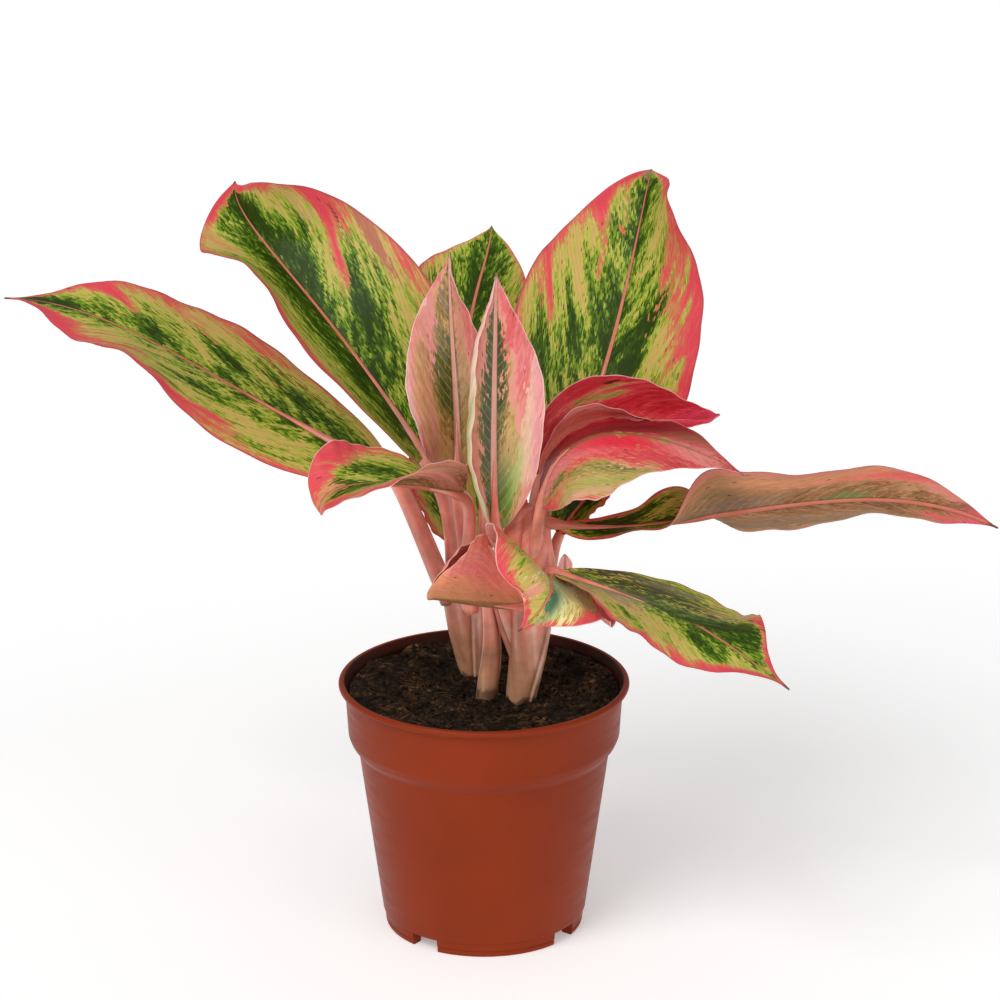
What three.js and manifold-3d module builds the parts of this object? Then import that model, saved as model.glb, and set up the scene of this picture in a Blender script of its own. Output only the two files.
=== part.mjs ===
// A potted Chinese evergreen: a plastic nursery pot, its potting mix, three short canes, fifteen leaves and the
// free tip of one leaf sheath.
// Millimetres, +Z up. The origin is on the pot's axis, at the level of the pot's feet; +X is the viewer's right
// and -Y points at the viewer.
import * as THREE from "three";
import { mergeVertices } from "three/addons/utils/BufferGeometryUtils.js";
import Module from "manifold-3d";

const wasm = await Module();
wasm.setup();

// ---------------------------------------------------------------- sizes

const GAP = 0.3; // air kept between neighbouring nodes

// Half of the pot's wall section, as [radius, height], from the axis under the floor round to the axis above it.
const POT_SECTION = [
  [0, 5.2],
  [35.8, 5.2],
  [36.2, 0],
  [41, 0],
  [41.6, 6],
  [42.3, 6.4],
  [52, 77.5],
  [54.9, 81],
  [56.1, 84],
  [57.3, 103.6],
  [60, 105],
  [60, 106.2],
  [59.3, 107],
  [57.6, 107],
  [56, 103.4],
  [54.9, 84.2],
  [50.5, 77.5],
  [41, 7.5],
  [0, 7],
];
const POT_SIDES = 52;
const FOOT_NOTCHES = [53.5, 143.5, 233.5, 323.5]; // degrees from -Y, counterclockwise
const NOTCH_WIDTH = 12.5;
const NOTCH_HEIGHT = 6;
const DRAIN_RADIUS = 4.5;
const DRAIN_RING = 24;

const SOIL_LEVEL = 99;
const SOIL_DISH = 4.2; // how much higher it stands at the wall than round the canes
const SOIL_SIDES = 34;
// Half of the potting mix's outline below its surface, GAP or more inside the wall.
const SOIL_SECTION = [
  [0, 7.4],
  [40.6, 8],
  [50.1, 77.6],
  [54.5, 84.4],
];
const SOIL_RIM = 55.4;
const SOIL_RINGS = [50, 42, 33, 24, 15, 7];

const CANE_SIDES = 14;
const CANES = [
  {
    name: "cane_left",
    path: [
      [-4, 25, 84],
      [-4.5, 25, 98],
      [-8.5, 25.5, 118],
      [-12, 26, 138],
    ],
    radius: [5.2, 5.8, 6.5, 6.2],
  },
  {
    name: "cane_middle",
    path: [
      [0.6, -2, 84],
      [0.9, -2, 98],
      [2.2, -2, 124],
      [-1, -2, 148],
    ],
    radius: [4.1, 4.4, 4.6, 3.8],
  },
  {
    name: "cane_right",
    path: [
      [14.2, -6, 84],
      [14.8, -6, 98],
      [18, -7, 122],
      [20, -8, 144],
      [20, -8, 164],
      [18.4, -8, 184],
    ],
    radius: [5.6, 6, 7.5, 8.2, 7.2, 2.8],
  },
];

// Each blade hangs on a spine from base to tip, drawn by the points out and over. heading is its compass
// direction from +X, and roll turns it about the spine. foldLeft and foldRight are the angles at which its two
// halves leave the midrib, curlLeft and curlRight how far they bend from there to the margin, all in degrees and
// at even steps from base to tip. halfWidth is its widest half, at the share widest of the spine. petiole gives
// the stalk's radius at foot and at base; rise is the way it sets out, in shares of its length, if not straight
// up, and neck the share of its length over which it bends into the blade. steps is a blade's own count of steps.
const LEAVES = [
  {
    name: "leaf_left_low",
    foot: [-14, 25, 132],
    base: [-39, 26, 188],
    out: [-125.3, 52.1, 226.4],
    over: [-153.5, 67.6, 248.8],
    tip: [-201.8, 79.5, 247.3],
    heading: 158.8,
    halfWidth: 35,
    widest: 0.41,
    petiole: [4.6, 3.4],
    rise: [-0.16, 0, 0.38],
    neck: 0.1,
    roll: [-21, -7, 3, -9, 3],
    foldLeft: [-21, 3, -2],
    foldRight: [-6, 12, -1],
    curlLeft: [-1, 8],
    curlRight: [9, 9],
  },
  {
    name: "leaf_left_high",
    foot: [-13, 30, 130],
    base: [-24, 30, 192],
    out: [-66.8, 42.6, 261.7],
    over: [-107.4, 89.2, 276.8],
    tip: [-105.1, 103.1, 291.7],
    heading: 134.7,
    halfWidth: 43.5,
    widest: 0.3,
    petiole: [3.8, 3],
    rise: [0.03, 0, 0.55],
    roll: [-10, -3, 8, -35, -30],
    foldLeft: [34, 6, 10],
    foldRight: [17, 47, 40],
    curlLeft: [21, 20],
    curlRight: [11, 27],
  },
  {
    name: "leaf_back_left",
    foot: [-5, 29, 112],
    base: [-7, 38, 150],
    out: [-10, 46, 160],
    over: [-20, 60, 176],
    tip: [-34, 76, 192],
    heading: 112,
    halfWidth: 18,
    widest: 0.42,
    petiole: [2.8, 2.2],
    roll: [0, 0, 0, 0, 0],
    foldLeft: [15, 15, 15],
    foldRight: [15, 10, 10],
    curlLeft: [10, 10],
    curlRight: [15, 15],
  },
  {
    name: "leaf_left_small",
    foot: [-5, -5, 138],
    base: [-9, -10, 190],
    out: [-32.3, -32.4, 205.5],
    over: [-68.5, -45.2, 210.2],
    tip: [-64.5, -32.9, 189.9],
    heading: 192.9,
    halfWidth: 27,
    widest: 0.43,
    petiole: [3.4, 2.8],
    rise: [-0.1, 0, 0.4],
    roll: [11, -3, -12, -26, -12],
    foldLeft: [64, 29, 30],
    foldRight: [13, 6, 18],
    curlLeft: [3, 1],
    curlRight: [4, 12],
  },
  {
    name: "leaf_young_left",
    foot: [-6, 0, 138],
    base: [-11, 9, 196],
    out: [-9.8, -0.5, 213.6],
    over: [-13.7, 17.3, 256.7],
    tip: [-13.7, 16.8, 284.7],
    heading: 94.7,
    halfWidth: 21.5,
    widest: 0.41,
    petiole: [3.2, 2.6],
    roll: [6, 9, -6, -23, -33],
    foldLeft: [10, 14, -2],
    foldRight: [1, 23, 31],
    curlLeft: [23, 17],
    curlRight: [21, 36],
  },
  {
    name: "leaf_back_centre",
    foot: [0, 1, 132],
    base: [-3, 40, 203],
    out: [-15.1, 58.7, 237],
    over: [2.8, 81.6, 260.9],
    tip: [3.1, 101.3, 272.7],
    heading: 92.3,
    halfWidth: 29.5,
    widest: 0.42,
    petiole: [3.2, 2.6],
    roll: [-2, 2, 13, 7, 2],
    foldLeft: [10, -2, -8],
    foldRight: [10, -17, -8],
    curlLeft: [13, 5],
    curlRight: [11, 3],
  },
  {
    name: "leaf_young_right",
    foot: [18, -8, 148],
    base: [5, -14, 176],
    out: [3, -16, 211],
    over: [5, -10, 251],
    tip: [5, 0, 281],
    heading: 90,
    halfWidth: 21,
    widest: 0.45,
    petiole: [4.2, 3.2],
    roll: [0, 0, 5, 5, 0],
    foldLeft: [-10, -20, -10],
    foldRight: [10, 5, 15],
    curlLeft: [150, 140],
    curlRight: [20, 25],
  },
  {
    name: "leaf_red_upper",
    foot: [20, -5, 160],
    base: [23, 7, 191.7],
    out: [39.5, 24.6, 220.2],
    over: [81.2, -0.2, 214.5],
    tip: [96.1, 13.5, 217.1],
    heading: 7.8,
    halfWidth: 22.5,
    widest: 0.44,
    petiole: [3, 2.6],
    roll: [3, -1, 15, 40, 24],
    foldLeft: [50, 70, 66],
    foldRight: [43, 45, 29],
    curlLeft: [13, 34],
    curlRight: [11, 13],
  },
  {
    name: "leaf_red_lower",
    foot: [20, -11, 158],
    base: [23, -17, 188.3],
    out: [28.3, -27.3, 232.4],
    over: [64.6, -32.7, 229.2],
    tip: [103.7, -35.6, 207.4],
    heading: -5.2,
    halfWidth: 31,
    widest: 0.4,
    petiole: [3.2, 2.8],
    roll: [4, -1, 5, 4, 5],
    foldLeft: [8, -12, 18],
    foldRight: [-24, -36, -9],
    curlLeft: [0, 0],
    curlRight: [7, 17],
  },
  {
    name: "leaf_right_long",
    foot: [27, -8, 152],
    base: [27, -6, 177],
    out: [77.2, -29.4, 174.1],
    over: [153, -2.7, 204.3],
    tip: [202.4, -60, 193.5],
    heading: -5.8,
    halfWidth: 21,
    widest: 0.54,
    petiole: [3.2, 2.8],
    steps: 20,
    roll: [10, 4, -5, 5, -79, -94, -94, -86, -90, -96, -91],
    foldLeft: [-1, 42, 15],
    foldRight: [-37, 53, 32],
    curlLeft: [14, 27],
    curlRight: [-1, 34],
  },
  {
    name: "leaf_right_drooping",
    foot: [26.5, -10, 147],
    base: [28.5, -22.6, 161.6],
    out: [84.8, -57.5, 155.6],
    over: [82.3, -86.5, 165.1],
    tip: [118.9, -101, 141.6],
    heading: -32,
    halfWidth: 29.5,
    widest: 0.43,
    petiole: [3, 2.4],
    roll: [-4, -7, 0, 14, -6],
    foldLeft: [10, -10, 2],
    foldRight: [5, -5, -5],
    curlLeft: [10, 11],
    curlRight: [16, 10],
  },
  {
    name: "leaf_front_folded",
    foot: [19.5, -13.5, 141],
    base: [26, -19, 159.5],
    out: [21.2, -37.8, 166.5],
    over: [37.4, -68.5, 174.5],
    tip: [13.5, -71, 154.4],
    heading: -88.3,
    halfWidth: 33,
    widest: 0.31,
    petiole: [2.6, 2.2],
    steps: 14,
    roll: [12, -3, -3, 8, -14],
    foldLeft: [-26, -32, -29],
    foldRight: [41, 42, 2],
    curlLeft: [1, -7],
    curlRight: [-9, -8],
  },
  {
    name: "leaf_front_low",
    foot: [17, -11, 130],
    base: [17, -24, 147],
    out: [-3.7, -36.3, 152.1],
    over: [-19.7, -49.6, 161.9],
    tip: [-21.9, -49.4, 159.9],
    heading: 203.7,
    halfWidth: 28.5,
    widest: 0.42,
    petiole: [3.2, 2.4],
    roll: [21, 16, -5, -12, -1],
    foldLeft: [96, 89, 77],
    foldRight: [40, 30, 31],
    curlLeft: [16, 10],
    curlRight: [105, 95],
  },
  {
    name: "leaf_back_right",
    foot: [27, -4, 146],
    base: [31, 4, 168.5],
    out: [37, 9, 178],
    over: [48, 13, 188],
    tip: [60, 18, 198],
    heading: 38,
    halfWidth: 13.5,
    widest: 0.4,
    petiole: [2.8, 2.2],
    roll: [0, 0, 0, 0, 0],
    foldLeft: [60, 50, 30],
    foldRight: [0, 5, 10],
    curlLeft: [10, 10],
    curlRight: [15, 15],
  },
  {
    name: "leaf_right_high",
    foot: [21, -1, 158],
    base: [37, 32, 196],
    out: [54.2, 42.2, 227.2],
    over: [67.1, 81.5, 292.2],
    tip: [70.3, 100.9, 297.4],
    heading: 68.4,
    halfWidth: 42.5,
    widest: 0.37,
    petiole: [3.4, 3],
    rise: [0, 0.2, 0.3],
    roll: [19, 5, 3, -18, 18],
    foldLeft: [13, 9, 26],
    foldRight: [-10, 19, 18],
    curlLeft: [10, 19],
    curlRight: [7, 23],
  },
  {
    name: "sheath_tip",
    foot: [27, -8, 143],
    base: [32.1, -9.5, 149],
    out: [32.6, -10.5, 154],
    over: [33.2, -10.5, 160],
    tip: [32.9, -10, 165],
    heading: 90,
    halfWidth: 3,
    widest: 0.45,
    petiole: [2, 1.6],
    steps: 5,
    roll: [0, 0, 0, 0, 0],
    foldLeft: [20, 20, 20],
    foldRight: [20, 20, 20],
    curlLeft: [20, 20],
    curlRight: [20, 20],
  },
];

const BLADE_THICKNESS = 0.72;
const BLADE_STEPS = 13;
const BLADE_STRIPS = 8;
const BLADE_START = 0.02;
const BLADE_END = 0.985;
const PETIOLE_RISE = [0, 0, 0.4];
const PETIOLE_NECK = 0.25;
const PETIOLE_STEPS = 6;
const PETIOLE_SIDES = 8;
const RIB_STATIONS = [0.05, 0.1, 0.16];
const RIB_RADII = [0.8, 0.6, 0.36]; // as shares of the stalk's radius at the base

// ---------------------------------------------------------------- looks

const paint = (colour, roughness) =>
  new THREE.MeshStandardMaterial({ color: colour, roughness, metalness: 0 });
const TERRACOTTA = paint(0x933a25, 0.5);
const PEAT = paint(0x281b14, 1);
const CANE_SKIN = paint(0xd8a08c, 0.55);
const LEAF_SKIN = paint(0x5f7a34, 0.42);
const YOUNG_SKIN = paint(0xc98f72, 0.35);
const RED_SKIN = paint(0xc64a52, 0.4);
const SKINS = {
  leaf_young_left: YOUNG_SKIN,
  leaf_young_right: YOUNG_SKIN,
  leaf_red_upper: RED_SKIN,
  leaf_red_lower: RED_SKIN,
  sheath_tip: YOUNG_SKIN,
};

// ---------------------------------------------------------------- solids

const radians = (degrees) => (degrees * Math.PI) / 180;
const point = (xyz) => new THREE.Vector3(...xyz);

// A closed three.js geometry as a solid.
function solid(geometry) {
  const bare = new THREE.BufferGeometry();
  bare.setAttribute("position", geometry.getAttribute("position"));
  bare.setIndex(geometry.index);
  const merged = mergeVertices(bare, 1e-4);
  const index = merged.index.array;
  const kept = [];
  for (let i = 0; i < index.length; i += 3) {
    const [a, b, c] = [index[i], index[i + 1], index[i + 2]];
    if (a !== b && b !== c && c !== a) kept.push(a, b, c);
  }
  return new wasm.Manifold(
    new wasm.Mesh({
      numProp: 3,
      vertProperties: new Float32Array(merged.getAttribute("position").array),
      triVerts: new Uint32Array(kept),
    }),
  );
}

// The largest body of a solid, as a named mesh.
function mesh(name, shape, material) {
  const bodies = shape.decompose();
  bodies.sort((a, b) => b.volume() - a.volume());
  const data = bodies[0].getMesh();
  const geometry = new THREE.BufferGeometry();
  geometry.setAttribute(
    "position",
    new THREE.BufferAttribute(new Float32Array(data.vertProperties), 3),
  );
  geometry.setIndex(new THREE.BufferAttribute(new Uint32Array(data.triVerts), 1));
  geometry.computeVertexNormals();
  const made = new THREE.Mesh(geometry, material);
  made.name = name;
  return made;
}

// A closed skin over rings of equally many points, with a fan at each end.
function skin(rings) {
  const count = rings[0].length;
  const positions = rings.flat().flatMap((p) => [p.x, p.y, p.z]);
  const faces = [];
  for (let i = 0; i + 1 < rings.length; i++) {
    for (let j = 0; j < count; j++) {
      const a = i * count + j;
      const b = i * count + ((j + 1) % count);
      faces.push(a, b, b + count, a, b + count, a + count);
    }
  }
  const middle = (ring) =>
    ring.reduce((sum, p) => sum.add(p), new THREE.Vector3()).divideScalar(count);
  const first = middle(rings[0]);
  const last = middle(rings[rings.length - 1]);
  const foot = rings.length * count;
  const top = foot - count;
  positions.push(first.x, first.y, first.z, last.x, last.y, last.z);
  for (let j = 0; j < count; j++) {
    const k = (j + 1) % count;
    faces.push(foot, k, j, foot + 1, top + j, top + k);
  }
  const geometry = new THREE.BufferGeometry();
  geometry.setAttribute("position", new THREE.Float32BufferAttribute(positions, 3));
  geometry.setIndex(faces);
  return solid(geometry);
}

// A round rod through points, with a radius at each of them.
function rod(points, radii, sides) {
  let across = new THREE.Vector3(1, 0, 0);
  const rings = points.map((centre, i) => {
    const before = points[Math.max(i - 1, 0)];
    const after = points[Math.min(i + 1, points.length - 1)];
    const along = after.clone().sub(before).normalize();
    across = across.clone().addScaledVector(along, -across.dot(along)).normalize();
    const over = along.clone().cross(across);
    return Array.from({ length: sides }, (_, j) => {
      const turn = (2 * Math.PI * j) / sides;
      return centre
        .clone()
        .addScaledVector(across, radii[i] * Math.cos(turn))
        .addScaledVector(over, radii[i] * Math.sin(turn));
    });
  });
  return skin(rings);
}

// The smooth run of a row of values that stand at even steps from 0 to 1.
function along(values, share) {
  const last = values.length - 1;
  const at = Math.min(Math.max(share, 0), 1) * last;
  const i = Math.min(Math.floor(at), last - 1);
  const f = at - i;
  const [a, b, c, d] = [i - 1, i, i + 1, i + 2].map(
    (k) => values[Math.min(Math.max(k, 0), last)],
  );
  return (
    0.5 *
    (2 * b +
      (c - a) * f +
      (2 * a - 5 * b + 4 * c - d) * f * f +
      (3 * b - a - 3 * c + d) * f * f * f)
  );
}

// ---------------------------------------------------------------- leaves

const spine = (leaf) =>
  new THREE.CubicBezierCurve3(
    point(leaf.base),
    point(leaf.out),
    point(leaf.over),
    point(leaf.tip),
  );

// The point of a blade at the share s of its spine and the share t across it, from -1 to 1.
function bladePoint(leaf, s, t, extra) {
  const curve = spine(leaf);
  const on = curve.getPoint(s);
  const ahead = curve
    .getPoint(Math.min(s + 1e-4, 1))
    .sub(curve.getPoint(Math.max(s - 1e-4, 0)))
    .normalize();
  const heading = radians(leaf.heading);
  const flat = new THREE.Vector3(-Math.sin(heading), Math.cos(heading), 0);
  flat.addScaledVector(ahead, -flat.dot(ahead)).normalize();
  const face = ahead.clone().cross(flat);
  const roll = radians(along(leaf.roll, s));
  const side = flat
    .clone()
    .multiplyScalar(Math.cos(roll))
    .addScaledVector(face, Math.sin(roll));
  const up = face.multiplyScalar(Math.cos(roll)).addScaledVector(flat, -Math.sin(roll));
  const [folds, curls] =
    t >= 0 ? [leaf.foldLeft, leaf.curlLeft] : [leaf.foldRight, leaf.curlRight];
  const fold = radians(along(folds, s));
  const raw = radians(along(curls, s));
  const curl = Math.abs(raw) < 1e-3 ? 1e-3 : raw;
  const power = Math.log(0.5) / Math.log(leaf.widest);
  const swell = Math.max(Math.sin(Math.PI * s ** power), 0) ** (0.75 + 0.6 * s ** 4);
  const half = leaf.halfWidth * swell + extra;
  const reach = fold + curl * Math.abs(t);
  return on
    .addScaledVector(
      side,
      (Math.sign(t) * half * (Math.sin(reach) - Math.sin(fold))) / curl,
    )
    .addScaledVector(up, (half * (Math.cos(fold) - Math.cos(reach))) / curl);
}

// A blade of even thickness: both faces are split into triangles alike.
function blade(leaf, extra) {
  const half = BLADE_THICKNESS / 2 + extra;
  const steps = leaf.steps ?? BLADE_STEPS;
  const rings = [];
  for (let i = 0; i <= steps; i++) {
    const s = BLADE_START + ((BLADE_END - BLADE_START) * i) / steps;
    const upper = [];
    const lower = [];
    for (let j = 0; j <= BLADE_STRIPS; j++) {
      const t = -1 + (2 * j) / BLADE_STRIPS;
      const here = bladePoint(leaf, s, t, extra);
      const down = bladePoint(leaf, Math.min(s + 0.004, 0.999), t, extra)
        .sub(bladePoint(leaf, s - 0.004, t, extra));
      const across = bladePoint(leaf, s, Math.min(t + 0.02, 1), extra)
        .sub(bladePoint(leaf, s, Math.max(t - 0.02, -1), extra));
      const normal = down.cross(across).normalize();
      upper.push(here.clone().addScaledVector(normal, half));
      lower.push(here.clone().addScaledVector(normal, -half));
    }
    rings.push({ upper, lower });
  }
  const width = BLADE_STRIPS + 1;
  const positions = [];
  for (const face of ["upper", "lower"])
    for (const ring of rings) for (const p of ring[face]) positions.push(p.x, p.y, p.z);
  const under = rings.length * width;
  const faces = [];
  const quad = (a, b, c, d) => faces.push(a, b, c, a, c, d);
  for (let i = 0; i < steps; i++) {
    for (let j = 0; j < BLADE_STRIPS; j++) {
      const a = i * width + j;
      const corners = [a, a + width, a + width + 1, a + 1];
      quad(...corners);
      const [p, q, r, u] = corners.map((k) => k + under);
      faces.push(p, r, q, p, u, r);
    }
    const left = i * width;
    const right = left + BLADE_STRIPS;
    quad(left, left + under, left + width + under, left + width);
    quad(right, right + width, right + width + under, right + under);
  }
  for (let j = 0; j < BLADE_STRIPS; j++) {
    const end = steps * width + j;
    quad(j, j + 1, j + 1 + under, j + under);
    quad(end, end + under, end + 1 + under, end + 1);
  }
  const geometry = new THREE.BufferGeometry();
  geometry.setAttribute("position", new THREE.Float32BufferAttribute(positions, 3));
  geometry.setIndex(faces);
  return solid(geometry);
}

// The stalk, from its foot in the cane to the blade's base and on as the midrib's thick start.
function petiole(leaf, extra) {
  const foot = point(leaf.foot);
  const base = point(leaf.base);
  const reach = base.distanceTo(foot);
  const ahead = point(leaf.out).sub(base).normalize();
  const curve = new THREE.CubicBezierCurve3(
    foot,
    foot.clone().addScaledVector(point(leaf.rise ?? PETIOLE_RISE), reach),
    base.clone().addScaledVector(ahead, -reach * (leaf.neck ?? PETIOLE_NECK)),
    base,
  );
  const points = curve.getPoints(PETIOLE_STEPS);
  const [thick, slim] = leaf.petiole;
  const radii = points.map((_, i) => thick + ((slim - thick) * i) / PETIOLE_STEPS + extra);
  RIB_STATIONS.forEach((s, i) => {
    points.push(spine(leaf).getPoint(s));
    radii.push(slim * RIB_RADII[i] + extra);
  });
  return rod(points, radii, PETIOLE_SIDES);
}

const leafSolid = (leaf, extra) => blade(leaf, extra).add(petiole(leaf, extra));

// ---------------------------------------------------------------- canes, potting mix and pot

function cane({ path, radius }, extra) {
  const curve = new THREE.CatmullRomCurve3(path.map(point));
  const steps = 8;
  const points = curve.getPoints(steps);
  const radii = points.map((_, i) => along(radius, i / steps) + extra);
  return rod(points, radii, CANE_SIDES);
}

// The lumpy surface of the potting mix.
const soilHeight = (x, y) =>
  SOIL_LEVEL +
  0.9 * Math.sin(0.21 * x + 0.6) * Math.cos(0.17 * y - 0.4) +
  0.5 * Math.sin(0.37 * x - 0.29 * y + 1.1) +
  SOIL_DISH * THREE.MathUtils.smoothstep(Math.hypot(x, y), 22, 52);

function soil() {
  const ring = (radius, height) =>
    Array.from({ length: SOIL_SIDES }, (_, j) => {
      const turn = (2 * Math.PI * j) / SOIL_SIDES;
      const [x, y] = [radius * Math.cos(turn), radius * Math.sin(turn)];
      return new THREE.Vector3(x, y, height ?? soilHeight(x, y));
    });
  return skin([
    ...SOIL_SECTION.slice(1).map(([radius, height]) => ring(radius, height)),
    ring(SOIL_RIM),
    ...SOIL_RINGS.map((radius) => ring(radius)),
  ]);
}

function pot() {
  const section = POT_SECTION.map(([r, z]) => new THREE.Vector2(r, z));
  const turned = new THREE.LatheGeometry(section, POT_SIDES).rotateX(Math.PI / 2);
  let body = solid(turned);
  for (const angle of FOOT_NOTCHES) {
    const notch = new THREE.BoxGeometry(NOTCH_WIDTH, 16, NOTCH_HEIGHT);
    notch.translate(0, -39, NOTCH_HEIGHT / 2 - 0.5);
    notch.rotateZ(radians(angle));
    body = body.subtract(solid(notch));
  }
  const holes = [[0, 0]].concat(
    FOOT_NOTCHES.map((angle) => [
      DRAIN_RING * Math.sin(radians(angle)),
      -DRAIN_RING * Math.cos(radians(angle)),
    ]),
  );
  for (const [x, y] of holes) {
    const drain = new THREE.CylinderGeometry(DRAIN_RADIUS, DRAIN_RADIUS, 6, 24);
    drain.rotateX(Math.PI / 2).translate(x, y, 6);
    body = body.subtract(solid(drain));
  }
  return body;
}

// ---------------------------------------------------------------- the plant in its pot

const plant = new THREE.Group();
plant.add(mesh("pot", pot(), TERRACOTTA));

let mix = soil();
let taken = null; // all that later leaves have to stay clear of
for (const one of CANES) {
  plant.add(mesh(one.name, cane(one, 0), CANE_SKIN));
  const around = cane(one, GAP);
  mix = mix.subtract(around);
  taken = taken ? taken.add(around) : around;
}
plant.add(mesh("soil", mix, PEAT));

for (const leaf of LEAVES) {
  plant.add(mesh(leaf.name, leafSolid(leaf, 0).subtract(taken), SKINS[leaf.name] ?? LEAF_SKIN));
  taken = taken.add(leafSolid(leaf, GAP));
}

export default plant;
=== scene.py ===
"""The looks of a potted Chinese evergreen: a soft plastic nursery pot, peaty potting mix, sheathed canes,
fifteen variegated leaves and the free tip of a sheath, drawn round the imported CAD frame. Laid out as a
Blender add-on and run as a script."""

import math
import random
from functools import partial

import bmesh
import bpy
import numpy as np
from bpy.props import FloatProperty, FloatVectorProperty, IntProperty, PointerProperty
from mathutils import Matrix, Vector


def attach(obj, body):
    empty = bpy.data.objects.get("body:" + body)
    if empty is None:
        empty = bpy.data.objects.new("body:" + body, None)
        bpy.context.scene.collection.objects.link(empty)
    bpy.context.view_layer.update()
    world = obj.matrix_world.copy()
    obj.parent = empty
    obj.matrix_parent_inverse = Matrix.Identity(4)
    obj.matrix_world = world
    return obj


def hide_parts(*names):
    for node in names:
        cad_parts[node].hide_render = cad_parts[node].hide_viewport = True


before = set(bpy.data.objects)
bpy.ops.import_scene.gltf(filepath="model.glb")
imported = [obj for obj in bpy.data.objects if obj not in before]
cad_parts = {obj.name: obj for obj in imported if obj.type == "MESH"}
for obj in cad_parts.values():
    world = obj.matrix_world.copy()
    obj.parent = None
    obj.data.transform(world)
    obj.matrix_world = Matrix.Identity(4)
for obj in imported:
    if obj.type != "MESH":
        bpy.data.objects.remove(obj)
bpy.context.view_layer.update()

bl_info = {
    "name": "Potted Chinese evergreen",
    "version": (1, 0, 0),
    "blender": (4, 5, 0),
    "location": "View3D > Sidebar > Evergreen",
    "description": "Builds the leaves, canes, potting mix and pot of a potted Chinese evergreen",
    "category": "Add Mesh",
}

MM = 0.001


def linear(hex_colour):
    """An sRGB hex colour as linear red, green and blue."""
    parts = [int(hex_colour[i : i + 2], 16) / 255 for i in (1, 3, 5)]
    return tuple(c / 12.92 if c <= 0.04045 else ((c + 0.055) / 1.055) ** 2.4 for c in parts)


def rgba(hex_colour):
    """The same as linear(), with an alpha of 1 for a shader socket."""
    return (*linear(hex_colour), 1.0)


# ---------------------------------------- the plant's sizes

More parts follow.
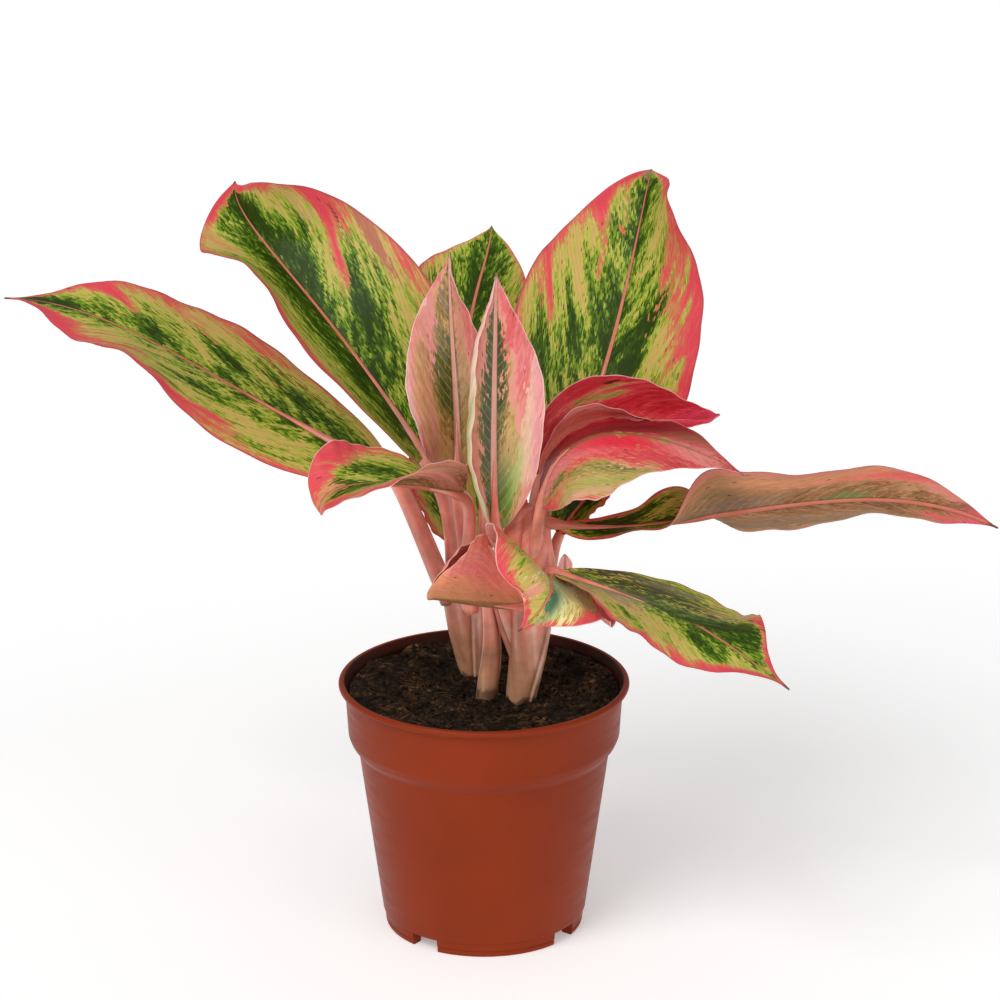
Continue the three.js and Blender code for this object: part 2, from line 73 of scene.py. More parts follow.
# Each blade hangs on a spine from base to tip, drawn by the points out and over, in mm. heading is its
# compass direction from +X. roll turns it about the spine, and fold and curl bend its left and right
# halves, in degrees at even steps from base to tip. stalk gives the stalk's radii at foot and base. border
# is, for each half, the share of the way to the margin where the pink border begins, at even steps from
# base to tip. redder, greener, darker and paler are patches where the pattern leans that way, and washes
# and backs are patches with a colour of their own, on the upper side and the underside; a few washes,
# marked below, stand in for painted shade and painted sheen instead. A patch is (share along, share
# across, width along the blade in mm, reach across it in mm, amount). lean is the run of the side veins,
# rib_shown the shares between which the midrib shows pink, rib_half its half width at base and tip in mm,
# and rim the margin's colour.
LEAVES = {
    "leaf_left_low": dict(
        skin="mature", foot=(-14, 25, 132), base=(-39, 26, 188), out=(-125.3, 52.1, 226.4),
        over=(-153.5, 67.6, 248.8), tip=(-201.8, 79.5, 247.3), heading=158.8, half=35, widest=0.41,
        stalk=(4.6, 3.4), rise=(-0.16, 0, 0.38), neck=0.1, roll=(-21, -7, 3, -9, 3),
        fold=((-21, 3, -2), (-6, 12, -1)), curl=((-1, 8), (9, 9)),
        border=((0.92, 0.9, 0.86, 0.62, 0.3), (1, 0.96, 0.86, 0.8, 0.5)),
        redder=((0.28, 0.72, 7, 4, 0.9), (0.38, 0.9, 10, 3, 0.8), (0.52, 0.62, 7, 4, 0.95),
            (0.62, 0.45, 5, 3, 0.7), (0.78, 0.65, 18, 10, 0.5), (0.3, -0.85, 14, 3, 0.6),
            (0.25, -0.45, 9, 2.5, 0.4), (0.43, -0.6, 8, 6, 0.5), (0.67, -0.58, 9, 5, 0.9),
            (0.77, -0.88, 8, 3, 0.6)),
        darker=((0.2, 0.8, 6, 5, 0.5), (0.43, 0.82, 6, 3, 0.6), (0.35, 0.4, 10, 6, 0.4),
            (0.14, -0.4, 16, 12, 0.5), (0.36, -0.4, 7, 7, 0.6), (0.55, -0.25, 8, 6, 0.4),
            (0.9, -0.3, 16, 8, 0.7)),
        paler=((0.15, 0.4, 9, 6, 0.5), (0.62, 0.5, 20, 8, 0.4), (0.42, -0.35, 6, 6, 0.35),
            (0.5, 0, 300, 80, 0.13)),
        washes=(("#D08A62", 0.48, -0.78, 12, 3, 0.6), ("#C4A060", 0.5, 0.8, 6, 4, 0.4),
            ("#C09860", 0.62, 0.88, 16, 4, 0.45), ("#7A5A2C", 0.22, -0.7, 18, 5, 0.45)),
    ),
    "leaf_left_high": dict(
        skin="mature", foot=(-13, 30, 130), base=(-24, 30, 192), out=(-66.8, 42.6, 261.7),
        over=(-107.4, 89.2, 276.8), tip=(-105.1, 103.1, 291.7), heading=134.7, half=43.5, widest=0.3,
        stalk=(3.8, 3), rise=(0.03, 0, 0.55), roll=(-10, -3, 8, -35, -30), fold=((34, 6, 10), (17, 47, 40)),
        curl=((21, 20), (11, 27)),
        border=((1, 0.92, 0.86, 0.86, 0.1), (1, 0.88, 0.9, 0.78, 0)),
        redder=((0.47, -0.55, 6, 11, 1.15), (0.3, 0.92, 24, 5, 0.5), (0.56, -0.85, 10, 4, 0.5)),
        darker=((0.2, 0.2, 34, 8, 0.4), (0.48, 0.15, 30, 7, 0.45), (0.3, -0.35, 9, 9, 0.75),
            (0.5, -0.2, 14, 6, 0.6), (0.68, -0.15, 14, 6, 0.5), (0.84, -0.1, 8, 5, 0.4)),
        paler=((0.42, -0.35, 6, 7, 0.55), (0.25, -0.65, 8, 5, 0.5), (0.68, -0.6, 12, 6, 0.45),
            (0.65, 0.6, 18, 8, 0.5)),
        washes=(("#B9745A", 0.43, -0.88, 15, 4, 1), ("#6A4A34", 0.5, -0.74, 2.5, 4, 0.7),
            ("#C9A06A", 0.63, -0.74, 12, 4, 0.6), ("#C9985E", 0.7, 0.72, 14, 5, 0.6)),
    ),
    "leaf_back_left": dict(
        skin="mature", foot=(-5, 29, 112), base=(-7, 38, 150), out=(-10, 46, 160), over=(-20, 60, 176),
        tip=(-34, 76, 192), heading=112, half=18, widest=0.42, stalk=(2.8, 2.2), roll=(0, 0, 0, 0, 0),
        fold=((15, 15, 15), (15, 10, 10)), curl=((10, 10), (15, 15)),
        border=((0.9, 0.85, 0.8, 0.75, 0.5), (0.88, 0.85, 0.8, 0.75, 0.5)),
    ),
    "leaf_left_small": dict(
        skin="mature", foot=(-5, -5, 138), base=(-9, -10, 190), out=(-32.3, -32.4, 205.5),
        over=(-68.5, -45.2, 210.2), tip=(-64.5, -32.9, 189.9), heading=192.9, half=27, widest=0.43,
        stalk=(3.4, 2.8), rise=(-0.1, 0, 0.4), roll=(11, -3, -12, -26, -12),
        fold=((64, 29, 30), (13, 6, 18)), curl=((3, 1), (4, 12)),
        border=((0.9, 0.9, 0.7, 0.5, 0.2), (0.95, 0.88, 0.6, 0.2, 0)), rim="#EBC0B0",
        darker=((0.4, -0.3, 16, 6, 0.3), (0.62, 0.25, 9, 8, 0.4)),
        paler=((0.48, -0.12, 6, 4, 0.6), (0.28, -0.6, 8, 4, 0.4)),
        washes=(("#D08A60", 0.85, 0.2, 12, 9, 0.7), ("#CE8A70", 0.6, 0.85, 14, 5, 0.6)),
        backs=(("#5E4A24", 0.32, 0.28, 8, 4, 0.8), ("#8A5238", 0.12, 0.5, 20, 10, 0.6),
            ("#D98878", 0.22, 0.55, 3, 9, 0.9), ("#D98878", 0.34, 0.55, 3, 9, 0.9),
            ("#E0A08C", 0.42, 0.75, 9, 7, 0.8)),
    ),
    "leaf_young_left": dict(
        skin="young", foot=(-6, 0, 138), base=(-11, 9, 196), out=(-9.8, -0.5, 213.6),
        over=(-13.7, 17.3, 256.7), tip=(-13.7, 16.8, 284.7), heading=94.7, half=21.5, widest=0.41,
        stalk=(3.2, 2.6), roll=(6, 9, -6, -23, -33), fold=((10, 14, -2), (1, 23, 31)),
        curl=((23, 17), (21, 36)),
        border=((0.62, 0.68, 0.78, 0.7, 0.4), (0.32, 0.32, 0.28, 0.22, 0.1)), rib_half=(1.7, 0.5),
        redder=((0.64, 0.62, 7, 3, 0.6),),
        darker=((0.5, 0.35, 22, 6, 0.5),),
        paler=((0.12, 0.3, 18, 12, 0.45),),
        washes=(("#EBABA4", 0.4, 0.98, 70, 3, 0.9), ("#E08A86", 0.78, 0.85, 26, 4, 0.8),
            ("#BC8258", 0.3, 0.6, 44, 4, 0.6), ("#D8957C", 0.22, 0.58, 14, 3, 0.6),
            # The grey-green wash #54684A at 0.8 along is a painted sheen.
            ("#54684A", 0.8, 0.3, 7, 1.8, 0.55), ("#DE8E80", 0.74, -0.35, 26, 6, 0.6),
            ("#A98C50", 0.35, -0.2, 30, 3, 0.6)),
    ),
    "leaf_back_centre": dict(
        skin="mature", foot=(0, 1, 132), base=(-3, 40, 203), out=(-15.1, 58.7, 237),
        over=(2.8, 81.6, 260.9), tip=(3.1, 101.3, 272.7), heading=92.3, half=29.5, widest=0.42,
        stalk=(3.2, 2.6), roll=(-2, 2, 13, 7, 2), fold=((10, -2, -8), (10, -17, -8)),
        curl=((13, 5), (11, 3)),
        border=((1, 0.97, 0.95, 0.9, 0.8), (1, 0.98, 0.97, 0.95, 0.9)),
        redder=((0.5, 0.92, 12, 3, 0.4),),
        darker=((0.55, 0.12, 30, 5, 0.3), (0.55, -0.12, 30, 5, 0.35)),
        paler=((0.6, -0.5, 20, 6, 0.2),),
    ),
    "leaf_young_right": dict(
        skin="young", foot=(18, -8, 148), base=(5, -14, 176), out=(3, -16, 211), over=(5, -10, 251),
        tip=(5, 0, 281), heading=90, half=21, widest=0.45, stalk=(4.2, 3.2), roll=(0, 0, 5, 5, 0),
        fold=((-10, -20, -10), (10, 5, 15)), curl=((150, 140), (20, 25)),
        border=((0.35, 0.35, 0.3, 0.25, 0.15), (0.85, 0.55, 0.3, 0.28, 0.1)), rib_half=(1.5, 0.6),
        greener=((0.15, -0.45, 14, 6, 0.8),),
        darker=((0.62, -0.12, 26, 2.5, 0.7), (0.5, 0.15, 50, 3, 0.6)),
        washes=(("#568C1E", 0.16, -0.4, 14, 5, 0.72), ("#3E6412", 0.2, -0.2, 12, 2.5, 0.7),
            ("#B4C868", 0.24, -0.55, 8, 3, 0.6), ("#E8C0A0", 0.4, -0.72, 26, 4, 0.75),
            ("#E8969A", 0.6, -0.97, 90, 3, 0.9), ("#DC5C5E", 0.78, -0.55, 12, 4, 0.7),
            ("#C8A464", 0.38, -0.3, 14, 4, 0.6)),
        backs=(("#EBD3B4", 0.55, 0.8, 60, 20, 1), ("#A79A5E", 0.36, 0.7, 6, 9, 0.8),
            ("#CBD096", 0.1, 0.8, 14, 20, 0.9), ("#F0B4AC", 0.85, 0.8, 26, 20, 1)),
    ),
    "leaf_red_upper": dict(
        skin="red", foot=(20, -5, 160), base=(23, 7, 191.7), out=(39.5, 24.6, 220.2),
        over=(81.2, -0.2, 214.5), tip=(96.1, 13.5, 217.1), heading=7.8, half=22.5, widest=0.44,
        stalk=(3, 2.6), roll=(3, -1, 15, 40, 24), fold=((50, 70, 66), (43, 45, 29)),
        curl=((13, 34), (11, 13)),
        border=((0, 0, 0, -0.1, -0.2), (0, -0.1, -0.1, -0.1, -0.2)),
        greener=((0.455, 0.58, 4, 2.2, 1), (0.465, 0.78, 4, 2.2, 1), (0.36, 0.6, 6, 2, 0.75),
            (0.27, 0.66, 6, 2.5, 0.75)),
        washes=(("#2E3010", 0.455, 0.85, 2, 1, 1), ("#E2506A", 0.85, 0.1, 20, 14, 0.8)),
        backs=(("#E07460", 0.22, -0.5, 50, 16, 1), ("#E0586A", 0.75, -0.5, 40, 12, 0.9),
            ("#E59690", 0.3, -0.93, 60, 1.6, 0.8)),
    ),
    "leaf_red_lower": dict(
        skin="red", foot=(20, -11, 158), base=(23, -17, 188.3), out=(28.3, -27.3, 232.4),
        over=(64.6, -32.7, 229.2), tip=(103.7, -35.6, 207.4), heading=-5.2, half=31, widest=0.4,
        stalk=(3.2, 2.8), roll=(4, -1, 5, 4, 5), fold=((8, -12, 18), (-24, -36, -9)),
        curl=((0, 0), (7, 17)),
        border=((0.1, 0, 0, 0, -0.2), (0.1, 0, 0, 0.05, 0)), rib_shown=(2, 3),
        greener=((0.3, -0.85, 26, 6, 0.8), (0.55, -0.7, 22, 6, 0.8), (0.4, -0.5, 60, 14, 0.38),
            (0.12, -0.3, 8, 5, 1), (0.42, -0.45, 10, 2, 0.5)),
        darker=((0.36, -0.75, 9, 3, 0.6), (0.56, -0.62, 9, 3, 0.6), (0.12, -0.3, 8, 5, 0.5)),
        # The far half's dark red #9A1C26 is its red darkened with painted shade from the leaf above, and the
        # #6A0C14 patch is painted shade.
        washes=(("#9A1C26", 0.45, 0.5, 90, 14, 1), ("#6A0C14", 0.58, 0.4, 18, 8, 0.8),
            ("#8A5A34", 0.82, 0.7, 10, 4, 0.6), ("#D0A276", 0.35, -0.6, 60, 9, 0.4),
            ("#A4AC4C", 0.45, -0.75, 26, 3.5, 0.75), ("#DCA482", 0.25, -0.93, 34, 3, 0.7),
            ("#DC9490", 0.22, -0.14, 20, 3.5, 0.9), ("#DC2038", 0.5, -0.12, 26, 4, 0.9),
            ("#E4887E", 0.86, -0.4, 16, 9, 0.7)),
    ),
    "leaf_right_long": dict(
        skin="mature", foot=(27, -8, 152), base=(27, -6, 177), out=(77.2, -29.4, 174.1),
        over=(153, -2.7, 204.3), tip=(202.4, -60, 193.5), heading=-5.8, half=21, widest=0.54,
        stalk=(3.2, 2.8), roll=(10, 4, -5, 5, -79, -94, -94, -86, -90, -96, -91),
        fold=((-1, 42, 15), (-37, 53, 32)), curl=((14, 27), (-1, 34)),
        border=((0.6, 0.85, 0.9, 0.9, 0.5), (0.8, 0.85, 0.8, 0.75, 0.3)), rib_half=(1.2, 0.6),
        darker=((0.15, 0.5, 20, 10, 0.4), (0.15, -0.3, 14, 8, 0.4)),
        paler=((0.27, 0.5, 5, 8, 0.5),),
        backs=(("#84705A", 0.42, -0.15, 26, 5, 0.7), ("#747046", 0.4, -0.5, 12, 3, 0.6),
            ("#6E7440", 0.66, -0.12, 12, 2.5, 0.7), ("#CC8E66", 0.6, -0.66, 50, 4, 0.8),
            ("#DA6260", 0.8, -0.92, 30, 2.5, 0.9), ("#8C7256", 0.5, 0.6, 50, 8, 0.7),
            ("#E2606C", 0.97, 0.2, 16, 14, 1), ("#DC6464", 0.88, 0.9, 14, 4, 0.8),
            ("#5C5A32", 0.9, -0.35, 8, 3, 0.5)),
    ),
    "leaf_right_drooping": dict(
        skin="mature", foot=(26.5, -10, 147), base=(28.5, -22.6, 161.6), out=(84.8, -57.5, 155.6),
        over=(82.3, -86.5, 165.1), tip=(118.9, -101, 141.6), heading=-32, half=29.5, widest=0.43,
        stalk=(3, 2.4), roll=(-4, -7, 0, 14, -6), fold=((10, -10, 2), (5, -5, -5)),
        curl=((10, 11), (16, 10)),
        border=((1.1, 1.1, 0.95, 0.9, 0.25), (1, 0.95, 0.9, 0.75, 0.25)), rib_shown=(0.5, 1.2),
        redder=((0.66, 0.82, 12, 4, 0.7),),
        darker=((0.3, 0.5, 80, 14, 0.3), (0.65, 0.35, 24, 9, 0.5), (0.37, -0.68, 5, 3, 0.5),
            (0.64, -0.35, 10, 3, 0.4), (0.5, -0.18, 34, 4, 0.16)),
        paler=((0.5, -0.5, 120, 14, 0.14), (0.47, 0.45, 14, 8, 0.5), (0.45, -0.4, 26, 9, 0.3),
            (0.84, -0.3, 24, 9, 0.16)),
        # The two grey washes, #8A8668 on the upper half and #8E8868 along the midrib below, are painted
        # sheen.
        washes=(("#4A4A2C", 0.2, 0.5, 60, 13, 0.62), ("#8A8668", 0.24, 0.75, 8, 5, 0.5),
            ("#8E8868", 0.14, -0.06, 22, 3.5, 0.9), ("#C98A70", 0.26, -0.4, 7, 3, 0.7),
            ("#C77A68", 0.13, -0.78, 10, 4, 0.8), ("#CFA878", 0.56, 0.78, 8, 4, 0.6),
            ("#A8A070", 0.22, -0.35, 14, 6, 0.5)),
    ),
    "leaf_front_folded": dict(
        skin="mature", foot=(19.5, -13.5, 141), base=(26, -19, 159.5), out=(21.2, -37.8, 166.5),
        over=(37.4, -68.5, 174.5), tip=(13.5, -71, 154.4), heading=-88.3, half=33, widest=0.31,
        stalk=(2.6, 2.2), roll=(12, -3, -3, 8, -14), fold=((-26, -32, -29), (41, 42, 2)),
        curl=((1, -7), (-9, -8)),
        border=((0.7, 0.66, 0.64, 0.66, 0.3), (0.5, 0.6, 0.72, 0.6, 0.1)), rim="#F0C4B4",
        darker=((0.45, 0.35, 30, 5, 0.2), (0.76, 0.5, 8, 6, 0.35)),
        paler=((0.45, 0.5, 60, 12, 0.7), (0.6, -0.3, 30, 10, 0.6)),
        washes=(("#E6D490", 0.4, 0.34, 50, 4.5, 0.6), ("#CFD09A", 0.4, 0.15, 40, 3, 0.6),
            ("#D8CC8C", 0.62, -0.3, 22, 7, 0.35), ("#3F6C50", 0.71, 0.12, 9, 2.6, 1),
            ("#7C9468", 0.36, 0.1, 12, 4, 0.55), ("#E88A80", 0.74, -0.4, 6, 4, 0.6)),
        backs=(("#D88C80", 0.3, 0.3, 60, 40, 1), ("#D88C80", 0.3, -0.6, 60, 40, 1)),
    ),
    "leaf_front_low": dict(
        skin="mature", foot=(17, -11, 130), base=(17, -24, 147), out=(-3.7, -36.3, 152.1),
        over=(-19.7, -49.6, 161.9), tip=(-21.9, -49.4, 159.9), heading=203.7, half=28.5, widest=0.42,
        stalk=(3.2, 2.4), roll=(21, 16, -5, -12, -1), fold=((96, 89, 77), (40, 30, 31)),
        curl=((16, 10), (105, 95)),
        border=((0.4, 0.45, 0.5, 0.5, 0.4), (0.5, 0.4, 0.4, 0.4, 0.3)), rib_shown=(2, 3), rim="#F0C4B4",
        washes=(("#EE9484", 0.4, 0.5, 90, 40, 1), ("#EE9484", 0.4, -0.5, 90, 40, 1)),
        backs=(("#F08C78", 0.5, 0.6, 90, 18, 1), ("#F08C78", 0.5, -0.6, 90, 18, 1),
            ("#BC8056", 0.3, 0.08, 60, 4, 0.9), ("#BC8056", 0.3, -0.08, 60, 4, 0.9),
            ("#FCA298", 0.22, 0.68, 12, 6, 0.8), ("#FCA298", 0.22, -0.7, 12, 6, 0.8),
            ("#F47C84", 0.52, 0.5, 14, 4, 0.7), ("#F4808A", 0.42, -0.5, 12, 4, 0.7),
            ("#D08E58", 0.75, 0.5, 30, 5, 0.5), ("#D89868", 0.55, -0.35, 20, 3, 0.5)),
    ),
    "leaf_back_right": dict(
        skin="mature", foot=(27, -4, 146), base=(31, 4, 168.5), out=(37, 9, 178), over=(48, 13, 188),
        tip=(60, 18, 198), heading=38, half=13.5, widest=0.4, stalk=(2.8, 2.2), roll=(0, 0, 0, 0, 0),
        fold=((60, 50, 30), (0, 5, 10)), curl=((10, 10), (15, 15)),
        border=((0.95, 0.95, 0.9, 0.85, 0.6), (0.9, 0.85, 0.85, 0.8, 0.5)),
        darker=((0.5, 0, 40, 12, 0.5),),
    ),
    "leaf_right_high": dict(
        skin="mature", foot=(21, -1, 158), base=(37, 32, 196), out=(54.2, 42.2, 227.2),
        over=(67.1, 81.5, 292.2), tip=(70.3, 100.9, 297.4), heading=68.4, half=42.5, widest=0.37,
        stalk=(3.4, 3), rise=(0, 0.2, 0.3), roll=(19, 5, 3, -18, 18), fold=((13, 9, 26), (-10, 19, 18)),
        curl=((10, 19), (7, 23)), lean=((1, 1.6), (0.9, 0.6)),
        border=((1, 0.96, 0.88, 0.8, 0.45), (0.74, 0.68, 0.6, 0.72, 0.6)),
        redder=((0.43, 0.72, 6, 5, 1), (0.72, 0.62, 18, 4, 0.85), (0.75, 0.3, 14, 2.5, 0.75),
            (0.55, 0.32, 14, 1.6, 0.65), (0.53, -0.52, 6, 4, 0.45), (0.42, -0.33, 3, 1.5, 0.7)),
        greener=((0.28, -0.8, 5, 5, 0.85), (0.53, -0.84, 5, 3, 0.8), (0.44, -0.8, 4, 3, 0.7),
            (0.68, -0.75, 6, 2.5, 0.6)),
        darker=((0.36, 0.42, 8, 6, 0.7), (0.42, 0.22, 8, 4, 0.5), (0.28, -0.25, 7, 7, 0.8),
            (0.4, -0.3, 5, 13, 0.9), (0.76, -0.04, 14, 3, 0.5), (0.2, 0.7, 14, 10, 0.5)),
        paler=((0.52, 0.55, 24, 9, 0.4), (0.34, -0.5, 7, 6, 0.5), (0.62, -0.3, 10, 7, 0.35)),
        washes=(("#A8806A", 0.95, 0.15, 7, 10, 0.5),),
    ),
    "sheath_tip": dict(
        skin="young", foot=(27, -8, 143), base=(32.1, -9.5, 149), out=(32.6, -10.5, 154),
        over=(33.2, -10.5, 160), tip=(32.9, -10, 165), heading=90, half=4.2, widest=0.45, blunt=0.5,
        stalk=(2, 1.6), roll=(0, 0, 0, 0, 0), fold=((20, 20, 20), (20, 20, 20)), curl=((20, 20), (20, 20)),
        border=((0.6, 0.6), (0.6, 0.6)), rib_shown=(2, 3),
        washes=(("#E4A29A", 0.5, 0, 90, 30, 1),),
        backs=(("#E4A29A", 0.5, 0, 90, 30, 1),),
    ),
}

BLADE_STEPS = 150  # rows from base to tip
BLADE_STRIPS = 60  # strips from margin to margin
BLADE_ENDS = (0.006, 0.997)  # shares along the spine where a blade begins and ends
STALK_STEPS = 26
STALK_SIDES = 20
# The stalk's end tapers into the midrib: shares along the blade, and parts of the stalk's radius there.
RIB_STATIONS = (0.05, 0.1, 0.16, 0.22, 0.28)
RIB_SHARES = (0.64, 0.48, 0.32, 0.176, 0.048)
# How far a side vein runs forward on its way to the margin, as parts of the half width: straight, and bent.
VEIN_LEAN = (0.9, 1.5)
# Waves along a margin from base to tip, long and short, and the height of the short ones in mm.
LONG_WAVES = 2.5
SHORT_WAVES = 9.3
SHORT_WAVE_HEIGHT = 0.35
BORDER_FADE = 0.45  # share of the half width over which green gives way to the pink border
# The field that each kind of patch leans, and which way.
LEANS = {"redder": ("red", 1), "greener": ("red", -1), "darker": ("dark", 1), "paler": ("dark", -1)}

# Canes, and the lobes of sheath that swell beside one: paths and radii in mm, and the turn in radians where
# their sheaths' edges start.
CANES = {
    "cane_left": dict(
        path=((-4, 25, 84), (-4.5, 25, 98), (-8.5, 25.5, 118), (-12, 26, 138)),
        radius=(5.2, 5.8, 6.5, 6.2), turn=5.0,
    ),
    "cane_middle": dict(
        path=((0.6, -2, 84), (0.9, -2, 98), (2.2, -2, 124), (-1, -2, 148)),
        radius=(4.1, 4.4, 4.6, 3.8), turn=3.7,
    ),
    "cane_right": dict(
        path=((14.2, -6, 84), (14.8, -6, 98), (18, -7, 122), (20, -8, 144), (20, -8, 164), (18.4, -8, 184)),
        radius=(5.6, 6, 7.5, 8.2, 7.2, 2.8), turn=5.8,
        lobes=(
            dict(path=((17, -6, 134), (13.5, -7, 156), (12, -8, 170), (16, -7, 187)),
                 radius=(5.5, 6.2, 5.4, 2), turn=5.2),
            dict(path=((14, -5, 116), (10, -5, 132), (7.5, -5, 148), (7, -4, 162)),
                 radius=(3, 4.2, 4.4, 3), turn=1.5),
        ),
    ),
}
CANE_STEPS = 90
CANE_SIDES = 150
# Each sheath's edge: its turn from the first, its slant round from foot to top, and how far it stands out.
SHEATH_EDGES = ((0.0, 1.9, 0.15), (2.6, -1.5, 0.13))
TOP_DOME = 2.5  # mm that a cane's top rises past its path

# Half of the pot's wall section, as (radius, height) in mm, from the axis under the floor to that above it.
POT_SECTION = (
    (0, 5.2), (35.8, 5.2), (36.2, 0), (41, 0), (41.3, 1.9), (41, 2.1), (41.05, 2.5), (41.4, 2.7), (41.6, 6),
    (42.3, 6.4), (52, 77.5), (54.9, 81), (56.1, 84), (57.3, 103.6), (60, 105), (60, 106.2), (59.3, 107),
    (57.6, 107), (56, 103.4), (54.9, 84.2), (50.5, 77.5), (41, 7.5), (0, 7),
)
POT_CORNER = 0.6  # radius of the section's corners
FOOT_NOTCHES = (53.5, 143.5, 233.5, 323.5)  # degrees from -Y, counterclockwise
FOOT_RADIUS = 39  # how far from the axis a notch's cut is centred
NOTCH_REACH = 16  # the cut's length outwards
FLOOR_HEIGHT = 6  # the middle of a drain hole's cut
DRAIN_DEPTH = 8  # that cut's length
SHARP_ANGLE = 38  # degrees between two faces of the pot that meet in an edge

# The potting mix in mm: its outline up to its surface, the surface's radius, and the parts of its mesh. Then
# come how far out crumbs and fibres lie, and the least and most of their sizes.
SOIL_SECTION = ((0, 7.4), (40.6, 8), (50.1, 77.6), (54.5, 84.4), (55.2, 92))
SOIL_RADIUS = 55.55
SOIL_SIDES = 300
SOIL_RINGS = 120
CRUMB_REACH = 53.5
FIBRE_REACH = 51
FIBRE_LIMIT = 54.6
FIBRE_STEPS = 7
FIBRE_LENGTH = (3, 12)
FIBRE_RADIUS = (0.1, 0.24)
FIBRE_LIFT = (0.2, 1.6)
FIBRE_BEND = (-0.5, 0.5)
CRUMB_STRETCH = ((0.8, 1.5), (0.6, 1.1), (0.5, 0.9))  # long, across and tall, least and most
LUMPS = ((7, 0.9, 3), (3, 0.75, 5), (1.3, 0.4, 9))  # the mix's lumps: width and height, and a seed
COLLAR_HEIGHT = 1.5  # where the mix rises round a cane

# The camera's lens in mm, its tilt down in degrees, how far it is in metres from what it looks at, and the x
# and z of that point. The floor's reach is in metres too.
CAMERA_LENS = 150.6
CAMERA_PITCH = 18.9
CAMERA_DISTANCE = 1.7
CAMERA_AIM = (0.0066, 0.1848)
FLOOR_REACH = 6
# Each light's name, its setting, its softness in degrees and the place that it shines from.
LIGHTS = (("key_light", "key", 36, (-1, -1.3, 1.7)), ("fill_light", "fill", 70, (0.8, -1.6, 0.9)))


# ---------------------------------------- settings


class LeafSettings(bpy.types.PropertyGroup):
    thickness: FloatProperty(
        name="Thickness", description="Thickness of a blade between its veins, in mm", default=0.5, min=0.3)
    pillow: FloatProperty(
        name="Pillow", description="Height of the swelling between side veins, in mm", default=0.32, min=0)
    wave: FloatProperty(
        name="Wave", description="Height of the waves along a margin, in mm", default=1.1, min=0)
    vein_step: FloatProperty(
        name="Vein step", description="Distance between main side veins, in mm", default=8.5, min=2)


class PotSettings(bpy.types.PropertyGroup):
    plastic: FloatVectorProperty(
        name="Plastic", description="Colour of the moulded pot", subtype="COLOR", default=linear("#89300F"))
    segments: IntProperty(name="Segments", description="Facets round the pot", default=240, min=32)
    notch_width: FloatProperty(
        name="Notch width", description="Width of a foot notch, in mm", default=12.5, min=1)
    notch_height: FloatProperty(
        name="Notch height", description="Height of a foot notch, in mm", default=5.5, min=1)
    drain_radius: FloatProperty(
        name="Drain radius", description="Radius of a drain hole, in mm", default=4.5, min=1)
    drain_ring: FloatProperty(
        name="Drain ring", description="Distance of the holes from the axis, in mm", default=24)


class SoilSettings(bpy.types.PropertyGroup):
    level: FloatProperty(
        name="Level", description="Height of the potting mix round the canes, in mm", default=99)
    dish: FloatProperty(
        name="Dish", description="How much higher it stands at the wall, in mm", default=4.2, min=0)
    crumbs: IntProperty(name="Crumbs", description="Loose crumbs on the surface", default=1100, min=0)
    fibres: IntProperty(name="Fibres", description="Peat fibres on the surface", default=260, min=0)
    peat: FloatVectorProperty(
        name="Peat", description="Colour of the damp peat", subtype="COLOR", default=linear("#20160D"))


class StageSettings(bpy.types.PropertyGroup):
    floor: FloatVectorProperty(
        name="Floor", description="Colour of the floor", subtype="COLOR", default=linear("#F4F4F4"))
    key: FloatProperty(name="Key light", description="Strength of the main soft light", default=1.5, min=0)
    fill: FloatProperty(
        name="Fill light", description="Strength of the soft light opposite", default=0.75, min=0)
    room: FloatProperty(
        name="Room light", description="Strength of the even light of the studio", default=0.38, min=0)


# ---------------------------------------- helpers


def wire(node, inputs):
    """Sets or links a node's inputs: a dict by name, or a tuple for the inputs in use, in their order."""
    if isinstance(inputs, dict):
        pairs = [(node.inputs[key], value) for key, value in inputs.items()]
    else:
        pairs = zip([one for one in node.inputs if one.enabled], inputs)
    for socket, value in pairs:
        if isinstance(value, bpy.types.NodeSocket):
            node.id_data.links.new(value, socket)
        else:
            socket.default_value = value


def add_node(tree, kind, inputs=(), out=None, **settings):
    """Adds one shader node with its settings and inputs, and gives the named output or the first in use."""
    node = tree.nodes.new("ShaderNode" + kind)
    for key, value in settings.items():
        setattr(node, key, value)
    wire(node, inputs)
    return node.outputs[out] if out else next(one for one in node.outputs if one.enabled)


def fill_ramp(output, stops):
    """Sets the stops of the colour ramp that an output belongs to, from (position, hex colour) pairs."""
    ramp = output.node.color_ramp
    while len(ramp.elements) > 1:
        ramp.elements.remove(ramp.elements[-1])
    ramp.elements[0].position, ramp.elements[0].color = stops[0][0], rgba(stops[0][1])
    for position, colour in stops[1:]:
        ramp.elements.new(position).color = rgba(colour)
    return output


def new_material(name):
    """A material with one Principled shader, that shader, and what adds nodes beside it."""
    made = bpy.data.materials.new(name)
    made.use_nodes = True
    return made, made.node_tree.nodes["Principled BSDF"], partial(add_node, made.node_tree)


RGB = {"data_type": "RGBA"}
SOFT = {"interpolation_type": "SMOOTHSTEP"}


def along(values, share):
    """The smooth run of a row of values that stand at even steps from 0 to 1."""
    values = np.asarray(values, float)
    last = len(values) - 1
    at = np.clip(np.asarray(share, float), 0, 1) * last
    i = np.minimum(at.astype(int), last - 1)
    f = at - i
    a, b, c, d = (values[np.clip(i + k, 0, last)] for k in (-1, 0, 1, 2))
    return 0.5 * (2 * b + (c - a) * f + (2 * a - 5 * b + 4 * c - d) * f**2 + (3 * b - a - 3 * c + d) * f**3)


def unit(v):
    return v / np.maximum(np.linalg.norm(v, axis=-1, keepdims=True), 1e-12)


def run_of(line):
    """How far along a line of points each point is."""
    return np.concatenate([[0], np.cumsum(np.linalg.norm(np.diff(line, axis=0), axis=1))])


def bezier(points, share):
    a, b, c, d = (np.asarray(p, float) for p in points)
    s = np.asarray(share, float)[..., None]
    return (1 - s) ** 3 * a + 3 * (1 - s) ** 2 * s * b + 3 * (1 - s) * s**2 * c + s**3 * d


